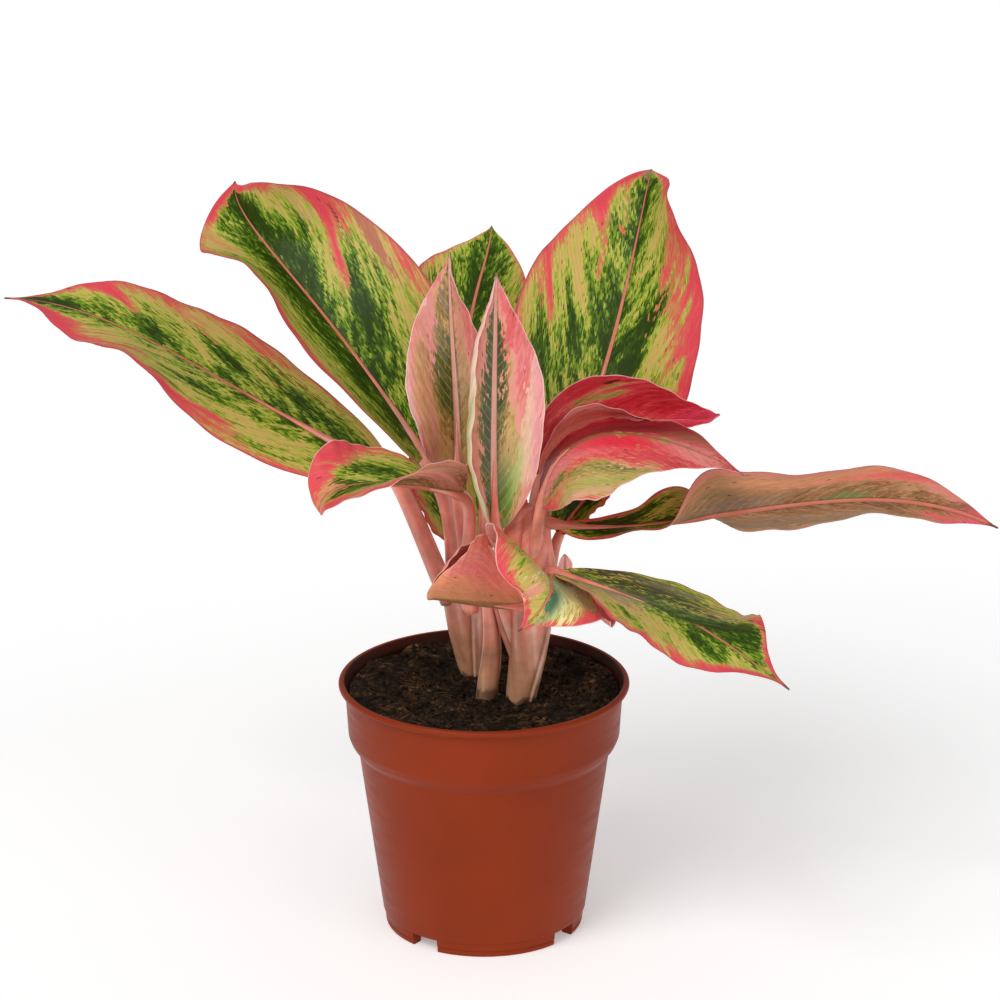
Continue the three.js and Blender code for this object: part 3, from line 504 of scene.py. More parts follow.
def bezier_way(points, share):
    a, b, c, d = (np.asarray(p, float) for p in points)
    s = np.asarray(share, float)[..., None]
    return 3 * (1 - s) ** 2 * (b - a) + 6 * (1 - s) * s * (c - b) + 3 * s**2 * (d - c)


def smooth_noise(p, seed):
    """Smooth value noise from -1 to 1 at points p, with a period of one unit, the same on every run."""
    cell = np.floor(p).astype(np.int64)
    f = p - cell
    f = f * f * (3 - 2 * f)
    total = 0
    for corner in np.ndindex(2, 2, 2):
        q = cell + np.array(corner)
        h = q[..., 0] * 374761393 + q[..., 1] * 668265263 + q[..., 2] * 2147483647 + seed * 1274126177
        h &= 0xFFFFFFFF
        h = ((h ^ (h >> 13)) * 1103515245) & 0xFFFFFFFF
        value = ((h ^ (h >> 16)) & 0xFFFF) / 32767.5 - 1
        weight = 1
        for k in range(3):
            weight = weight * (f[..., k] if corner[k] else 1 - f[..., k])
        total = total + value * weight
    return total


def grid_faces(rows, columns, start=0, loop=False, flip=False):
    """The quads of a grid of points numbered row by row; loop joins the last column to the first."""
    i, j = np.meshgrid(np.arange(rows - 1), np.arange(columns if loop else columns - 1), indexing="ij")
    k = (j + 1) % columns
    corners = [i * columns + j, (i + 1) * columns + j, (i + 1) * columns + k, i * columns + k]
    faces = start + np.stack(corners, -1).reshape(-1, 4)
    return faces[:, ::-1] if flip else faces


def level_rings(section, turn):
    """Level rings of points round the axis, one for each (radius, height)."""
    return [np.stack([r * np.cos(turn), r * np.sin(turn), np.full(len(turn), z)], -1) for r, z in section]


def ringed_body(rings, ends, start=0):
    """Points and faces of a closed body, from rings of points and the two points that close its ends."""
    rows, sides = len(rings), len(rings[0])
    faces = grid_faces(rows, sides, start, loop=True, flip=True).tolist()
    low, last = start + rows * sides, start + (rows - 1) * sides
    for j in range(sides):
        k = (j + 1) % sides
        faces += [[low, start + k, start + j], [low + 1, last + j, last + k]]
    return np.concatenate([*rings, ends]), faces


def tube(centre, side, radius, reach, start, flat=1.0, dome=0.0):
    """A closed tube round a line of points: its points, faces, and map in mm along and round it. reach gives
    its real radii, ring by ring, and radius its mean ones."""
    way, length = unit(np.gradient(centre, axis=0)), run_of(centre)
    turn = np.linspace(0, 2 * np.pi, reach.shape[1], endpoint=False)
    rings, where = [], []
    for i, r in enumerate(reach):
        side = unit(side - way[i] * (side @ way[i]))
        over = np.cross(way[i], side)
        out = np.outer(r * np.cos(turn), side) + np.outer(r * np.sin(turn) * flat, over)
        rings.append(centre[i] + out)
        where.append(np.stack([np.full(len(turn), length[i]), turn * radius[i]], -1))
    points, faces = ringed_body(rings, [centre[0], centre[-1] + way[-1] * dome], start)
    return points, faces, np.concatenate([*where, [[0, 0], [length[-1], 0]]])


def make_piece(name, points, faces, materials, node, face_material=None, maps=None, fields=None):
    """A smooth mesh piece from points in mm, which rides on the frame, replaces a node and takes a slot."""
    mesh = bpy.data.meshes.new(name)
    mesh.from_pydata((np.asarray(points) * MM).tolist(), [], [list(map(int, f)) for f in faces])
    for material in materials:
        mesh.materials.append(material)
    if face_material is not None:
        mesh.polygons.foreach_set("material_index", np.asarray(face_material, np.int32))
    loops = np.zeros(len(mesh.loops), np.int32)
    mesh.loops.foreach_get("vertex_index", loops)
    for map_name, values in (maps or {}).items():
        layer = mesh.uv_layers.new(name=map_name)
        layer.data.foreach_set("uv", np.asarray(values, np.float32)[loops].ravel())
    for field, values in (fields or {}).items():
        values = np.asarray(values, np.float32)
        layer = mesh.attributes.new(field, "FLOAT" if values.ndim == 1 else "FLOAT_COLOR", "POINT")
        layer.data.foreach_set("value" if values.ndim == 1 else "color", values.ravel())
    mesh.polygons.foreach_set("use_smooth", np.ones(len(mesh.polygons), bool))
    mesh.update()
    piece = bpy.data.objects.new(name, mesh)
    bpy.context.scene.collection.objects.link(piece)
    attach(piece, "root")
    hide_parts(node)
    return piece


# ---------------------------------------- leaf shape


def spine(leaf):
    return [leaf[k] for k in ("base", "out", "over", "tip")]


def flat_side(leaf):
    """The level direction to the left of a leaf's heading."""
    heading = math.radians(leaf["heading"])
    return np.array([-math.sin(heading), math.cos(heading), 0])


def half_width(leaf, s):
    power = math.log(0.5) / math.log(leaf["widest"])
    end = leaf.get("blunt", 1) * (0.75 + 0.6 * s**4)
    return leaf["half"] * np.maximum(np.sin(np.pi * np.clip(s, 0, 1) ** power), 0) ** end


def blade_middle(leaf, s, t):
    """Points of a blade's middle surface at shares s along and t across, as in the CAD."""
    on, ahead = bezier(spine(leaf), s), unit(bezier_way(spine(leaf), s))
    flat = flat_side(leaf)
    side = unit(flat - (ahead @ flat)[..., None] * ahead)
    face = np.cross(ahead, side)
    roll = np.radians(along(leaf["roll"], s))[..., None]
    side, up = side * np.cos(roll) + face * np.sin(roll), face * np.cos(roll) - side * np.sin(roll)
    fold, curl = (
        np.radians(np.where(t >= 0, *(along(row, s) for row in leaf[key]))) for key in ("fold", "curl"))
    curl = np.where(np.abs(curl) < 1e-3, 1e-3, curl)
    half = half_width(leaf, s)
    reach = fold + curl * np.abs(t)
    x = np.sign(t) * half * (np.sin(reach) - np.sin(fold)) / curl
    z = half * (np.cos(fold) - np.cos(reach)) / curl
    return on + x[..., None] * side + z[..., None] * up


def leaf_coordinates(leaf, s, t):
    """Real distances on a blade: the vein each point lies on, and how far it is from the midrib, in mm."""
    fine = np.linspace(0, 1, 400)
    length = np.interp(s, fine, run_of(bezier(spine(leaf), fine)))
    across = half_width(leaf, s) * t
    part = np.abs(across) / leaf["half"]
    left, right = leaf.get("lean", (VEIN_LEAN, VEIN_LEAN))
    straight, bent = (np.where(t >= 0, left[k], right[k]) for k in (0, 1))
    return length - leaf["half"] * (straight * part + bent * part**2), across


def leaf_fields(leaf, upper, s, t, vein, across):
    """How red and how dark each point of one side of a blade is, and the colour that is washed over it."""

    def weight(along_share, across_share, wide, reach, amount):
        v0, x0 = leaf_coordinates(leaf, np.array([along_share]), np.array([across_share]))
        return amount * np.exp(-(((vein - v0[0]) / wide) ** 2) - ((across - x0[0]) / reach) ** 2)

    begins = np.where(t >= 0, *(along(row, s) for row in leaf["border"]))
    fields = {
        "red": np.clip(0.5 + (np.abs(t) - begins) / BORDER_FADE, -0.15, 1.1),
        "dark": 0.62 - 0.5 * np.abs(t),
    }
    for kind, (field, sign) in LEANS.items():
        for patch in leaf.get(kind, ()) if upper else ():
            fields[field] = fields[field] + sign * weight(*patch)
    fields = {field: np.clip(values, -0.3, 1.3) for field, values in fields.items()}
    wash = np.zeros((*s.shape, 4))
    for colour, *patch in leaf.get("washes" if upper else "backs", ()):
        new = weight(*patch)[..., None]
        held = wash[..., 3:] * (1 - new)
        wash[..., :3] = (wash[..., :3] * held + np.array(linear(colour)) * new) / (held + new + 1e-9)
        wash[..., 3:] = held + new
    return {**fields, "wash": np.clip(wash, 0, 1)}


def build_leaf(name, leaf, materials, sizes, seed):
    """One leaf: a veined blade of two skins joined along the margin, and its grooved stalk."""
    rows, columns = BLADE_STEPS + 1, BLADE_STRIPS + 1
    even = np.linspace(0, 1, columns)
    # The strips crowd a little at the margins.
    strips = 2 * (0.55 * (0.5 - 0.5 * np.cos(np.pi * even)) + 0.45 * even) - 1
    strips[columns // 2] = 0
    s, t = np.meshgrid(np.linspace(*BLADE_ENDS, rows), strips, indexing="ij")
    middle = blade_middle(leaf, s, t)
    vein, across = leaf_coordinates(leaf, s, t)
    half = half_width(leaf, s)
    normal = unit(np.cross(np.gradient(middle, axis=0), np.gradient(middle, axis=1)))

    # Long and short waves grow towards the margin, and the skin swells between the side veins.
    away = np.abs(t)
    slow = np.sin(2 * np.pi * LONG_WAVES * s + np.where(t >= 0, 0, 1.9) + seed)
    quick = np.sin(2 * np.pi * SHORT_WAVES * s + 2.1 * np.sign(t) + seed * 1.7)
    ends = np.sin(np.pi * np.clip(s, 0, 1)) ** 0.5
    wave = sizes.wave * away**2.2 * slow + SHORT_WAVE_HEIGHT * away**3 * quick
    wave = min(1, leaf["half"] / 12) * ends * wave
    phase = np.pi * (vein / sizes.vein_step + 0.31 * seed)
    soft = np.minimum(away * 6, 1) * (1 - 0.75 * away**4) * np.minimum(half / 8, 1)
    swell = np.abs(np.sin(phase)) ** 0.7 - 0.5 + 0.3 * (np.abs(np.sin(3 * phase)) - 0.5)
    middle = middle + (wave + sizes.pillow * soft * swell)[..., None] * normal

    # The midrib is a groove above and a ridge below.
    rib = leaf["stalk"][1] * np.interp(s, (0, 0.16, 1), (0.62, 0.42, 0.1))
    near = np.exp(-((across / np.maximum(rib * 0.62, 0.25)) ** 2))
    above = sizes.thickness / 2 - 0.45 * rib * near * np.minimum(half / 6, 1)
    below = sizes.thickness / 2 + 0.95 * rib * near
    grip = np.clip((1 - away) * 12, 0.35, 1)
    upper, lower = (middle + (h * grip)[..., None] * normal for h in (above, -below))

    count = rows * columns
    faces = [grid_faces(rows, columns), grid_faces(rows, columns, count, flip=True)]
    for j, step in ((0, 1), (columns - 1, -1)):
        a = np.arange(rows - 1) * columns + j
        faces.append(np.stack([a, a + count, a + count + columns, a + columns], -1)[:, ::step])
    for i, step in ((0, 1), (rows - 1, -1)):
        a = i * columns + np.arange(columns - 1)
        faces.append(np.stack([a, a + 1, a + 1 + count, a + count], -1)[:, ::step])
    stalk, stalk_faces, stalk_map = build_stalk(leaf, 2 * count)
    kinds = [np.full(len(group), kind) for group, kind in zip([*faces, stalk_faces], (0, 1, 0, 0, 0, 0, 2))]

    def both_sides(a, b):
        return np.concatenate([np.tile(np.stack([a.ravel(), b.ravel()], -1), (2, 1)), stalk_map])

    sides = [leaf_fields(leaf, one, s, t, vein, across) for one in (True, False)]
    fields = {}
    for field, values in sides[0].items():
        depth = values.shape[2:]
        flat = [one[field].reshape(count, *depth) for one in sides]
        fields[field] = np.concatenate([*flat, np.zeros((len(stalk), *depth))])
    return make_piece(
        f"{name}_blade", np.concatenate([upper.reshape(-1, 3), lower.reshape(-1, 3), stalk]),
        [f for group in (*faces, stalk_faces) for f in group], materials, name,
        np.concatenate(kinds), {"vein": both_sides(vein, across), "share": both_sides(s, t)}, fields)


def build_stalk(leaf, start):
    """A stalk from its foot in the cane to the blade, channelled above, that runs out as the midrib."""
    foot, base, out = (np.array(leaf[k], float) for k in ("foot", "base", "out"))
    reach = np.linalg.norm(base - foot)
    rise, neck = np.array(leaf.get("rise", (0, 0, 0.4))), leaf.get("neck", 0.25)
    path = [foot, foot + rise * reach, base - unit(out - base) * reach * neck, base]
    share = np.linspace(0, 1, STALK_STEPS)
    centre = np.concatenate([bezier(path, share), bezier(spine(leaf), np.array(RIB_STATIONS))])
    thick, slim = leaf["stalk"]
    radius = np.concatenate([thick + (slim - thick) * share, slim * np.array(RIB_SHARES)])
    turn = np.linspace(0, 2 * np.pi, STALK_SIDES, endpoint=False)
    groove = np.exp(-(((turn - np.pi / 2 + np.pi) % (2 * np.pi) - np.pi) / 0.55) ** 2)
    return tube(centre, flat_side(leaf), radius, radius[:, None] * (1.02 - 0.24 * groove), start, flat=0.94)


# ---------------------------------------- leaf finishes

# Greens run from yellow-green to the darkest, reds from the fringe of a patch to its heart, and under from
# the pale to the dark parts of an underside. blush is its pink; rib and edge are the midrib's two shades,
# rim the margin's and vein the side veins' colour; lines gives how far veins show on green and on red.
# shine is the specular level and wax the weight of the coat.
SKINS = {
    "mature": dict(
        slot="leaf", shine=0.1, wax=0.05,
        greens=((0, "#CDAE62"), (0.1, "#C6BC5E"), (0.24, "#AEB446"), (0.38, "#8CA232"), (0.52, "#648420"),
                (0.68, "#425E14"), (0.95, "#2C400C")),
        reds=((0, "#A88A44"), (0.08, "#BC8248"), (0.2, "#D28A5C"), (0.42, "#DE6258"), (1, "#E24A58")),
        under=((0, "#B98860"), (0.5, "#946A44"), (1, "#644626")),
        blush="#D58272", rib="#C8604C", edge="#D98A74", rim="#B4505A", vein="#425E14", lines=(0.2, 0.06),
    ),
    "young": dict(
        slot="young_leaf", shine=0.35, wax=0.7,
        greens=((0, "#CFA468"), (0.25, "#AE8448"), (0.5, "#82702A"), (0.75, "#586018"), (1, "#3C4A10")),
        reds=((0, "#D39A64"), (0.15, "#E09C80"), (0.5, "#EA948A"), (1, "#E06A6C")),
        under=((0, "#DCA884"), (0.5, "#C28C62"), (1, "#946840")),
        blush="#E8A08E", rib="#D88676", edge="#ECBCA8", rim="#F6D2C6", vein="#D2A680", lines=(0.36, 0.2),
    ),
    "red": dict(
        slot="red_leaf", shine=0.18, wax=0.12,
        greens=((0, "#C09A55"), (0.3, "#A0964A"), (0.6, "#76802E"), (1, "#4F6028")),
        reds=((0, "#D08858"), (0.15, "#DC705A"), (0.45, "#DC4E54"), (1, "#C42C36")),
        under=((0, "#EC9C8C"), (0.5, "#E0786E"), (1, "#C0504E")),
        blush="#EE9C8E", rib="#E48E84", edge="#F0B6AA", rim="#F0B4AA", vein="#A8303C", lines=(0.3, 0.3),
    ),
}
VEIN_SPACING = 4.4  # mm along the midrib, between fine side veins
CELL_WIDE, CELL_LONG = 1.7, 0.55  # mm along the midrib and across the blade, for one cell of the mosaic
BROWNING_FADE = 0.045  # m over which a stalk turns from brown to pink


def leaf_skin(leaf, seed, underside):
    """The waxy living skin of a Chinese evergreen leaf, smooth and softly glossy, as it grew: a mosaic of
    green cells in streaks along the side veins, a pink border that runs in as flames, and a pink midrib."""
    skin = SKINS[leaf["skin"]]
    face = "under" if underside else "upper"
    material, shader, add = new_material(f"waxy_{leaf['skin']}_leaf_{face}_{seed}")
    veins, shares = (add("UVMap", uv_map=name) for name in ("vein", "share"))
    vein, across = (add("SeparateXYZ", (veins,), axis) for axis in "XY")
    length, side = (add("SeparateXYZ", (shares,), axis) for axis in "XY")
    red, dark = (add("Attribute", out="Fac", attribute_name=name) for name in ("red", "dark"))
    wash = add("Attribute", attribute_name="wash").node.outputs

    # The mosaic of coloured cells, which measure 0.7 mm across a side vein and 1.3 mm along it where the
    # vein leans by 65 degrees.
    cells_at = add("Mapping", {"Vector": veins, "Scale": (1 / CELL_WIDE, 1 / CELL_LONG, 1)})
    cells = add("TexVoronoi", {"Vector": cells_at, "Scale": 1}, voronoi_dimensions="2D").node.outputs
    speck = add("SeparateColor", (cells["Color"],))

    # Streaks lie along the side veins, and each cell takes the streak's colour at its own middle.
    streaks = []
    for wide, long, detail, offset in ((3.6, 6, 3, 0), (13, 11, 1, 11)):
        at = add("Mapping", {
            "Vector": cells["Position"], "Scale": (CELL_WIDE / wide, CELL_LONG / long, 1),
            "Location": (seed * 3.7 + offset, seed * 1.3, offset)})
        streaks.append(add("TexNoise", {
            "Vector": at, "Scale": 1, "Detail": detail, "Roughness": 0.62, "Distortion": 0.3}))
    fine, broad = streaks

    def patterned(field, *amounts):
        """A field with the fine and broad streaks and the cells' own values added in these amounts."""
        for pattern, amount in zip((fine, broad, speck), amounts):
            off = add("Math", (pattern, 0.5), operation="SUBTRACT")
            field = add("Math", (off, amount, field), operation="MULTIPLY_ADD")
        return field

    greens, reds = skin["greens"], skin["reds"]
    if underside:
        greens = skin["under"]
        reds = ((0, greens[0][1]), (0.35, skin["blush"]), (1, skin["blush"]))
    red_at = patterned(red, 1.5, 1, 0.3)
    greens = fill_ramp(add("ValToRGB", (patterned(dark, 1.9, 1.1, 0.5),)), greens)
    reds = fill_ramp(add("ValToRGB", (add("MapRange", (red_at, 0.44, 1.15)),)), reds)
    colour = add("Mix", (add("MapRange", (red_at, 0.42, 0.52), **SOFT), greens, reds), **RGB)
    # Washes of colour, broken up by the same mosaic and a little lighter and darker with it.
    mottle = add("Math", (speck, 0.35, fine), operation="MULTIPLY_ADD")
    tinted = add("HueSaturation", {
        "Color": wash["Color"], "Value": add("MapRange", (mottle, 0.3, 1, 0.82, 1.16))})
    covered = add("Math", (
        add("MapRange", (patterned(wash["Alpha"], 0.9, 0.4, 0.4), 0.34, 0.56), **SOFT),
        add("MapRange", (wash["Alpha"], 0.05, 0.15), **SOFT)), operation="MULTIPLY")
    colour = add("Mix", (covered, colour, tinted), **RGB)

    # Fine side veins, which wander a little.
    ridge = add("Math", (broad, 0.4, add("Math", (vein, VEIN_SPACING), operation="DIVIDE")),
                operation="MULTIPLY_ADD")
    ridge = add("Math", (add("Math", (ridge,), operation="FRACT"), 0.5), operation="SUBTRACT")
    ridge = add("Math", (ridge,), operation="ABSOLUTE")
    line = add("MapRange", (ridge, 0, 0.13, 1, 0), **SOFT)
    shown = add("MapRange", (red_at, 0.4, 0.6, *((0.45, 0.06) if underside else skin["lines"])), **SOFT)
    faint = add("Math", (line, shown), operation="MULTIPLY")
    colour = add("Mix", (faint, colour, rgba(skin["blush" if underside else "vein"])), **RGB)

    # Small dark spots, 0.6 mm across a side vein and 1.3 mm along it, about 15 mm apart.
    spots_at = add("Mapping", {"Vector": veins, "Scale": (1 / 16, 1 / 6, 1), "Location": (seed, 0, 0)})
    spots = add("TexVoronoi", {"Vector": spots_at, "Scale": 1}, voronoi_dimensions="2D").node.outputs
    chosen = add("MapRange", (add("SeparateColor", (spots["Color"],), "Green"), 0.55, 0.6), **SOFT)
    spot = add("MapRange", (spots["Distance"], 0.03, 0.06, 0.75, 0), **SOFT)
    spot = add("Math", (spot, chosen), operation="MULTIPLY")
    colour = add("Mix", (spot, colour, rgba("#2E2410")), **RGB)

    # The midrib narrows towards the tip, between two dark lines of painted shadow along its groove.
    rib_from, rib_to = leaf.get("rib_shown", (-0.2, 1.2))
    rib_half = add("MapRange", (length, 0, 1, *leaf.get("rib_half", (1.15, 0.15))))
    ratio = add("Math", (add("Math", (across,), operation="ABSOLUTE"), rib_half), operation="DIVIDE")
    rib_shadow_lines = add("MapRange", (ratio, 0.9, 2.2, 0.5, 0), **SOFT)
    colour = add("Mix", (rib_shadow_lines, colour, rgba(skin["greens"][-1][1])), **RGB)
    rib = add("MapRange", (ratio, 0.7, 1.2, 1, 0), **SOFT)
    for low, high, *ends in ((rib_from, rib_from + 0.08), (rib_to - 0.15, rib_to, 1, 0)):
        rib = add("Math", (rib, add("MapRange", (length, low, high, *ends), **SOFT)), operation="MULTIPLY")
    shade = add("Mix", (fine, rgba(skin["rib"]), rgba(skin["edge"])), **RGB)
    colour = add("Mix", (rib, colour, shade), **RGB)

    # The dry brown point of the tip, and the dry hairline along the margin.
    tip = add("MapRange", (length, 0.965, 0.985, 0, 0.8), **SOFT)
    colour = add("Mix", (tip, colour, rgba("#40302A")), **RGB)
    rim = add("MapRange", (add("Math", (side,), operation="ABSOLUTE"), 0.974, 0.99, 0, 0.85), **SOFT)
    colour = add("Mix", (rim, colour, rgba(leaf.get("rim", skin["rim"]))), **RGB)

    height = add("Math", (speck, 0.25), operation="MULTIPLY")
    height = add("Math", (line, -0.7, height), operation="MULTIPLY_ADD")
    wire(shader, {
        "Base Color": colour,
        "Roughness": add("MapRange", (fine, 0.2, 0.8, *((0.5, 0.62) if underside else (0.34, 0.48)))),
        "Normal": add("Bump", {"Strength": 0.35, "Distance": 0.00025, "Height": height}),
        "IOR": 1.45,  # leaf wax
        "Specular IOR Level": 0.08 if underside else skin["shine"],
        "Coat Weight": 0 if underside else skin["wax"],
        "Coat Roughness": 0.14,
    })
    return material


# The palest stops, for canes and stalks alike, are pale fibres made paler to stand for gloss: partly painted
# highlight.
PINK_STALK = ((0.25, "#CA6450"), (0.5, "#E48C78"), (0.75, "#F6C6B4"))
BROWN_STALK = ((0.25, "#98684A"), (0.5, "#C08E6C"), (0.75, "#E6C2A4"))


def stalk_skin(name, browning):
    """The smooth fleshy skin of a stalk, as it grew: satin, with paler lengthwise fibres and lighter and
    darker blotches, partly painted highlight and shade, brown up to a height of browning metres and pink
    above that."""
    material, shader, add = new_material(name)
    # Streaks of fibres 7 mm wide and 50 mm long, with finer ones between them, and blotches of 9 mm.
    at = add("Mapping", {"Vector": add("UVMap", uv_map="vein"), "Scale": (1 / 50, 1 / 7, 1)})
    fibres = add("TexNoise", {"Vector": at, "Scale": 1, "Detail": 2.5})
    place = add("TexCoord", out="Object")
    blotch = add("TexNoise", {"Vector": place, "Scale": 110, "Detail": 3})
    low, high = (fill_ramp(add("ValToRGB", (fibres,)), stops) for stops in (BROWN_STALK, PINK_STALK))
    height = add("Math", (blotch, 0.03, add("SeparateXYZ", (place,), "Z")), operation="MULTIPLY_ADD")
    share = add("MapRange", (height, browning, browning + BROWNING_FADE), **SOFT)
    colour = add("Mix", (share, low, high), **RGB)
    # Painted shade that darkens the foot, painted shadow in the fold behind a sheath's edge, and the edge
    # itself, papery and pale.
    sheath = add("Attribute", out="Fac", attribute_name="sheath")
    # Painted shade: darker below 0.12 m, next to the mix.
    foot_shade = add("MapRange", (height, 0.116, 0.12, 0.75, 0), **SOFT)
    # fold is painted shadow: where the sheath field is negative, behind a sheath's edge.
    fold, pale = (add("MapRange", (sheath, *ends)) for ends in ((0, -0.8, 0, 0.6), (0.2, 0.9, 0, 0.5)))
    for amount, shade in ((foot_shade, "#4E3422"), (fold, "#6E3A2C"), (pale, "#EBCDBA")):
        colour = add("Mix", (amount, colour, rgba(shade)), **RGB)
    # Blotches a little lighter and darker: partly random tone, partly painted highlight and shade.
    value = add("MapRange", (blotch, 0.32, 0.68, 0.84, 1.22))
    wire(shader, {
        "Base Color": add("HueSaturation", {"Value": value, "Color": colour}),
        "Roughness": add("MapRange", (blotch, 0, 1, 0.26, 0.42)),
        "Normal": add("Bump", {"Strength": 0.15, "Distance": 0.0003, "Height": fibres}),
        "Specular IOR Level": 0.45,
        "Subsurface Weight": 0.1,
        "Subsurface Radius": (0.006, 0.003, 0.002),
        "Subsurface Scale": 0.4,
    })
    return material


# ---------------------------------------- canes, potting mix, pot


def cane_curve(path, steps):
    """Points of a smooth curve through a path, drawn as in the CAD, as a centripetal Catmull-Rom curve."""
    p = [np.array(q, float) for q in path]
    p = [2 * p[0] - p[1]] + p + [2 * p[-1] - p[-2]]
    made = []
    for n in range(steps + 1):
        at = n / steps * (len(path) - 1)
        i = min(int(at), len(path) - 2)
        f = at - i
        q = p[i : i + 4]
        d = [max(np.linalg.norm(q[k + 1] - q[k]), 1e-6) ** 0.5 for k in range(3)]
        way = [(q[k + 1] - q[k]) / d[k] for k in range(3)]
        t1, t2 = ((way[k] - (q[k + 2] - q[k]) / (d[k] + d[k + 1]) + way[k + 1]) * d[1] for k in (0, 1))
        made.append(q[1] + t1 * f + (-3 * q[1] + 3 * q[2] - 2 * t1 - t2) * f**2
                    + (2 * q[1] - 2 * q[2] + t1 + t2) * f**3)
    return np.array(made)


def build_cane(name, cane, material):
    """A short cane wrapped in the overlapping sheaths of its stalks, each with a raised slanting edge."""
    turn = np.linspace(0, 2 * np.pi, CANE_SIDES, endpoint=False)
    share = np.linspace(0, 1, CANE_STEPS + 1)[:, None]
    points, faces, maps, edges = [], [], [], []
    for shoot in (cane, *cane.get("lobes", ())):
        swell, edge = 0.9, 0
        for phase, lean, depth in SHEATH_EDGES:
            off = (turn - shoot["turn"] - phase - lean * (share - 0.5)) % (2 * np.pi)
            ridge = depth * np.exp(-off / 1.9) * np.clip(off / 0.09, 0, 1)
            swell = swell + ridge * np.minimum(1, 4 * share)
            # lip marks the pale edge of a sheath; the negative term is painted shadow in a strip just behind
            # it.
            lip, shadow_behind = (off - 0.11) / 0.07, (2 * np.pi - off) / 0.22
            edge = edge + np.exp(-(lip**2)) - 0.8 * np.exp(-(shadow_behind**2))
        radius = along(shoot["radius"], share[:, 0])
        reach = radius[:, None] * swell + 0.12 * np.sin(3 * turn + share * 5)
        centre = cane_curve(shoot["path"], CANE_STEPS)
        made = tube(centre, np.array([1.0, 0, 0]), radius, reach, len(points), dome=TOP_DOME)
        for kept, new in zip((points, faces, maps, edges), (*made, [*edge.ravel(), 0, 0])):
            kept.extend(new)
    make_piece(f"{name}_sheaths", points, faces, [material], name,
               maps={"vein": np.array(maps)}, fields={"sheath": edges})


def soil_surface(x, y, sizes):
    """The height of the mix, as in the CAD, with a collar round each cane and lumps of 7, 3 and 1.3 mm."""
    wall = np.clip((np.hypot(x, y) - 22) / 30, 0, 1)
    high = sizes.level + sizes.dish * wall**2 * (3 - 2 * wall)
    high = high + 0.9 * np.sin(0.21 * x + 0.6) * np.cos(0.17 * y - 0.4)
    high = high + 0.5 * np.sin(0.37 * x - 0.29 * y + 1.1)
    for cane in CANES.values():
        away = np.hypot(x - cane["path"][1][0], y - cane["path"][1][1])
        high = high + COLLAR_HEIGHT * np.exp(-((away / (cane["radius"][1] + 2.5)) ** 4))
    p = np.stack([x, y, 0 * x], -1)
    for size, amount, seed in LUMPS:
        high = high + amount * smooth_noise(p / size + 40, seed)
    return high


def build_soil(sizes, material):
    """Peaty potting mix: a lumpy filled body with loose crumbs and fibres lying on it."""
    chance = random.Random(7)
    turn = np.linspace(0, 2 * np.pi, SOIL_SIDES, endpoint=False)
    rings = level_rings(SOIL_SECTION[1:], turn)
    for r in SOIL_RADIUS * (1 - np.arange(SOIL_RINGS) / SOIL_RINGS) ** 0.95:
        x, y = r * np.cos(turn), r * np.sin(turn)
        rings.append(np.stack([x, y, soil_surface(x, y, sizes)], -1))
    crown = soil_surface(np.zeros(1), np.zeros(1), sizes)[0]
    points, faces = ringed_body(rings, [[0, 0, SOIL_SECTION[0][1]], [0, 0, crown]])
    points = list(points)

    ball = bmesh.new()
    bmesh.ops.create_icosphere(ball, subdivisions=1, radius=1)
    ball_points = np.array([v.co[:] for v in ball.verts])
    ball_faces = np.array([[v.index for v in f.verts] for f in ball.faces])
    ball.free()

    def spot(limit):
        r, a = limit * math.sqrt(chance.random()), chance.uniform(0, 2 * math.pi)
        return r * math.cos(a), r * math.sin(a)

    for n in range(sizes.crumbs):
        x, y = spot(CRUMB_REACH)
        ground = soil_surface(np.array([x]), np.array([y]), sizes)[0]
        size = 0.45 + 1.5 * chance.random() ** 3
        stretch = [chance.uniform(*ends) for ends in CRUMB_STRETCH]
        rough = 1 + 0.35 * smooth_noise(ball_points * 1.9 + n * 3.1, 21)
        a = chance.uniform(0, 2 * math.pi)
        spin = np.array([[math.cos(a), -math.sin(a), 0], [math.sin(a), math.cos(a), 0], [0, 0, 1]])
        faces += (ball_faces + len(points)).tolist()
        crumb = (ball_points * rough[:, None] * stretch * size) @ spin.T
        points += list(crumb + [x, y, ground + 0.2 * size])

    first_fibre = len(points)
    f = np.linspace(0, 1, FIBRE_STEPS)
    b = np.arange(4) * np.pi / 2
    for _ in range(sizes.fibres):
        x, y = spot(FIBRE_REACH)
        way, length = chance.uniform(0, 2 * math.pi), chance.uniform(*FIBRE_LENGTH)
        bend, radius, lift = (chance.uniform(*ends) for ends in (FIBRE_BEND, FIBRE_RADIUS, FIBRE_LIFT))
        a = way + bend * f * 3
        cx, cy = x + length * (f - 0.5) * np.cos(a), y + length * (f - 0.5) * np.sin(a)
        held = np.minimum(1, FIBRE_LIMIT / np.hypot(cx, cy))
        cx, cy = cx * held, cy * held
        cz = soil_surface(cx, cy, sizes) + 0.25 + lift * np.sin(np.pi * f)
        thin = radius * (1 - 0.6 * np.abs(2 * f - 1))
        wide, tall = np.outer(thin, np.cos(b)), np.outer(thin, np.sin(b))
        start, last = len(points), len(points) + (FIBRE_STEPS - 1) * 4
        faces += grid_faces(FIBRE_STEPS, 4, start, loop=True).tolist()
        faces += [[start, start + 1, start + 2, start + 3], [last + 3, last + 2, last + 1, last]]
        fibre = [cx - wide.T * np.sin(a), cy + wide.T * np.cos(a), cz + tall.T]
        points += list(np.stack(fibre).T.reshape(-1, 3))
    dry = np.arange(len(points)) >= first_fibre
    make_piece("soil_potting_mix", points, faces, [material], "soil", fields={"dry": dry})


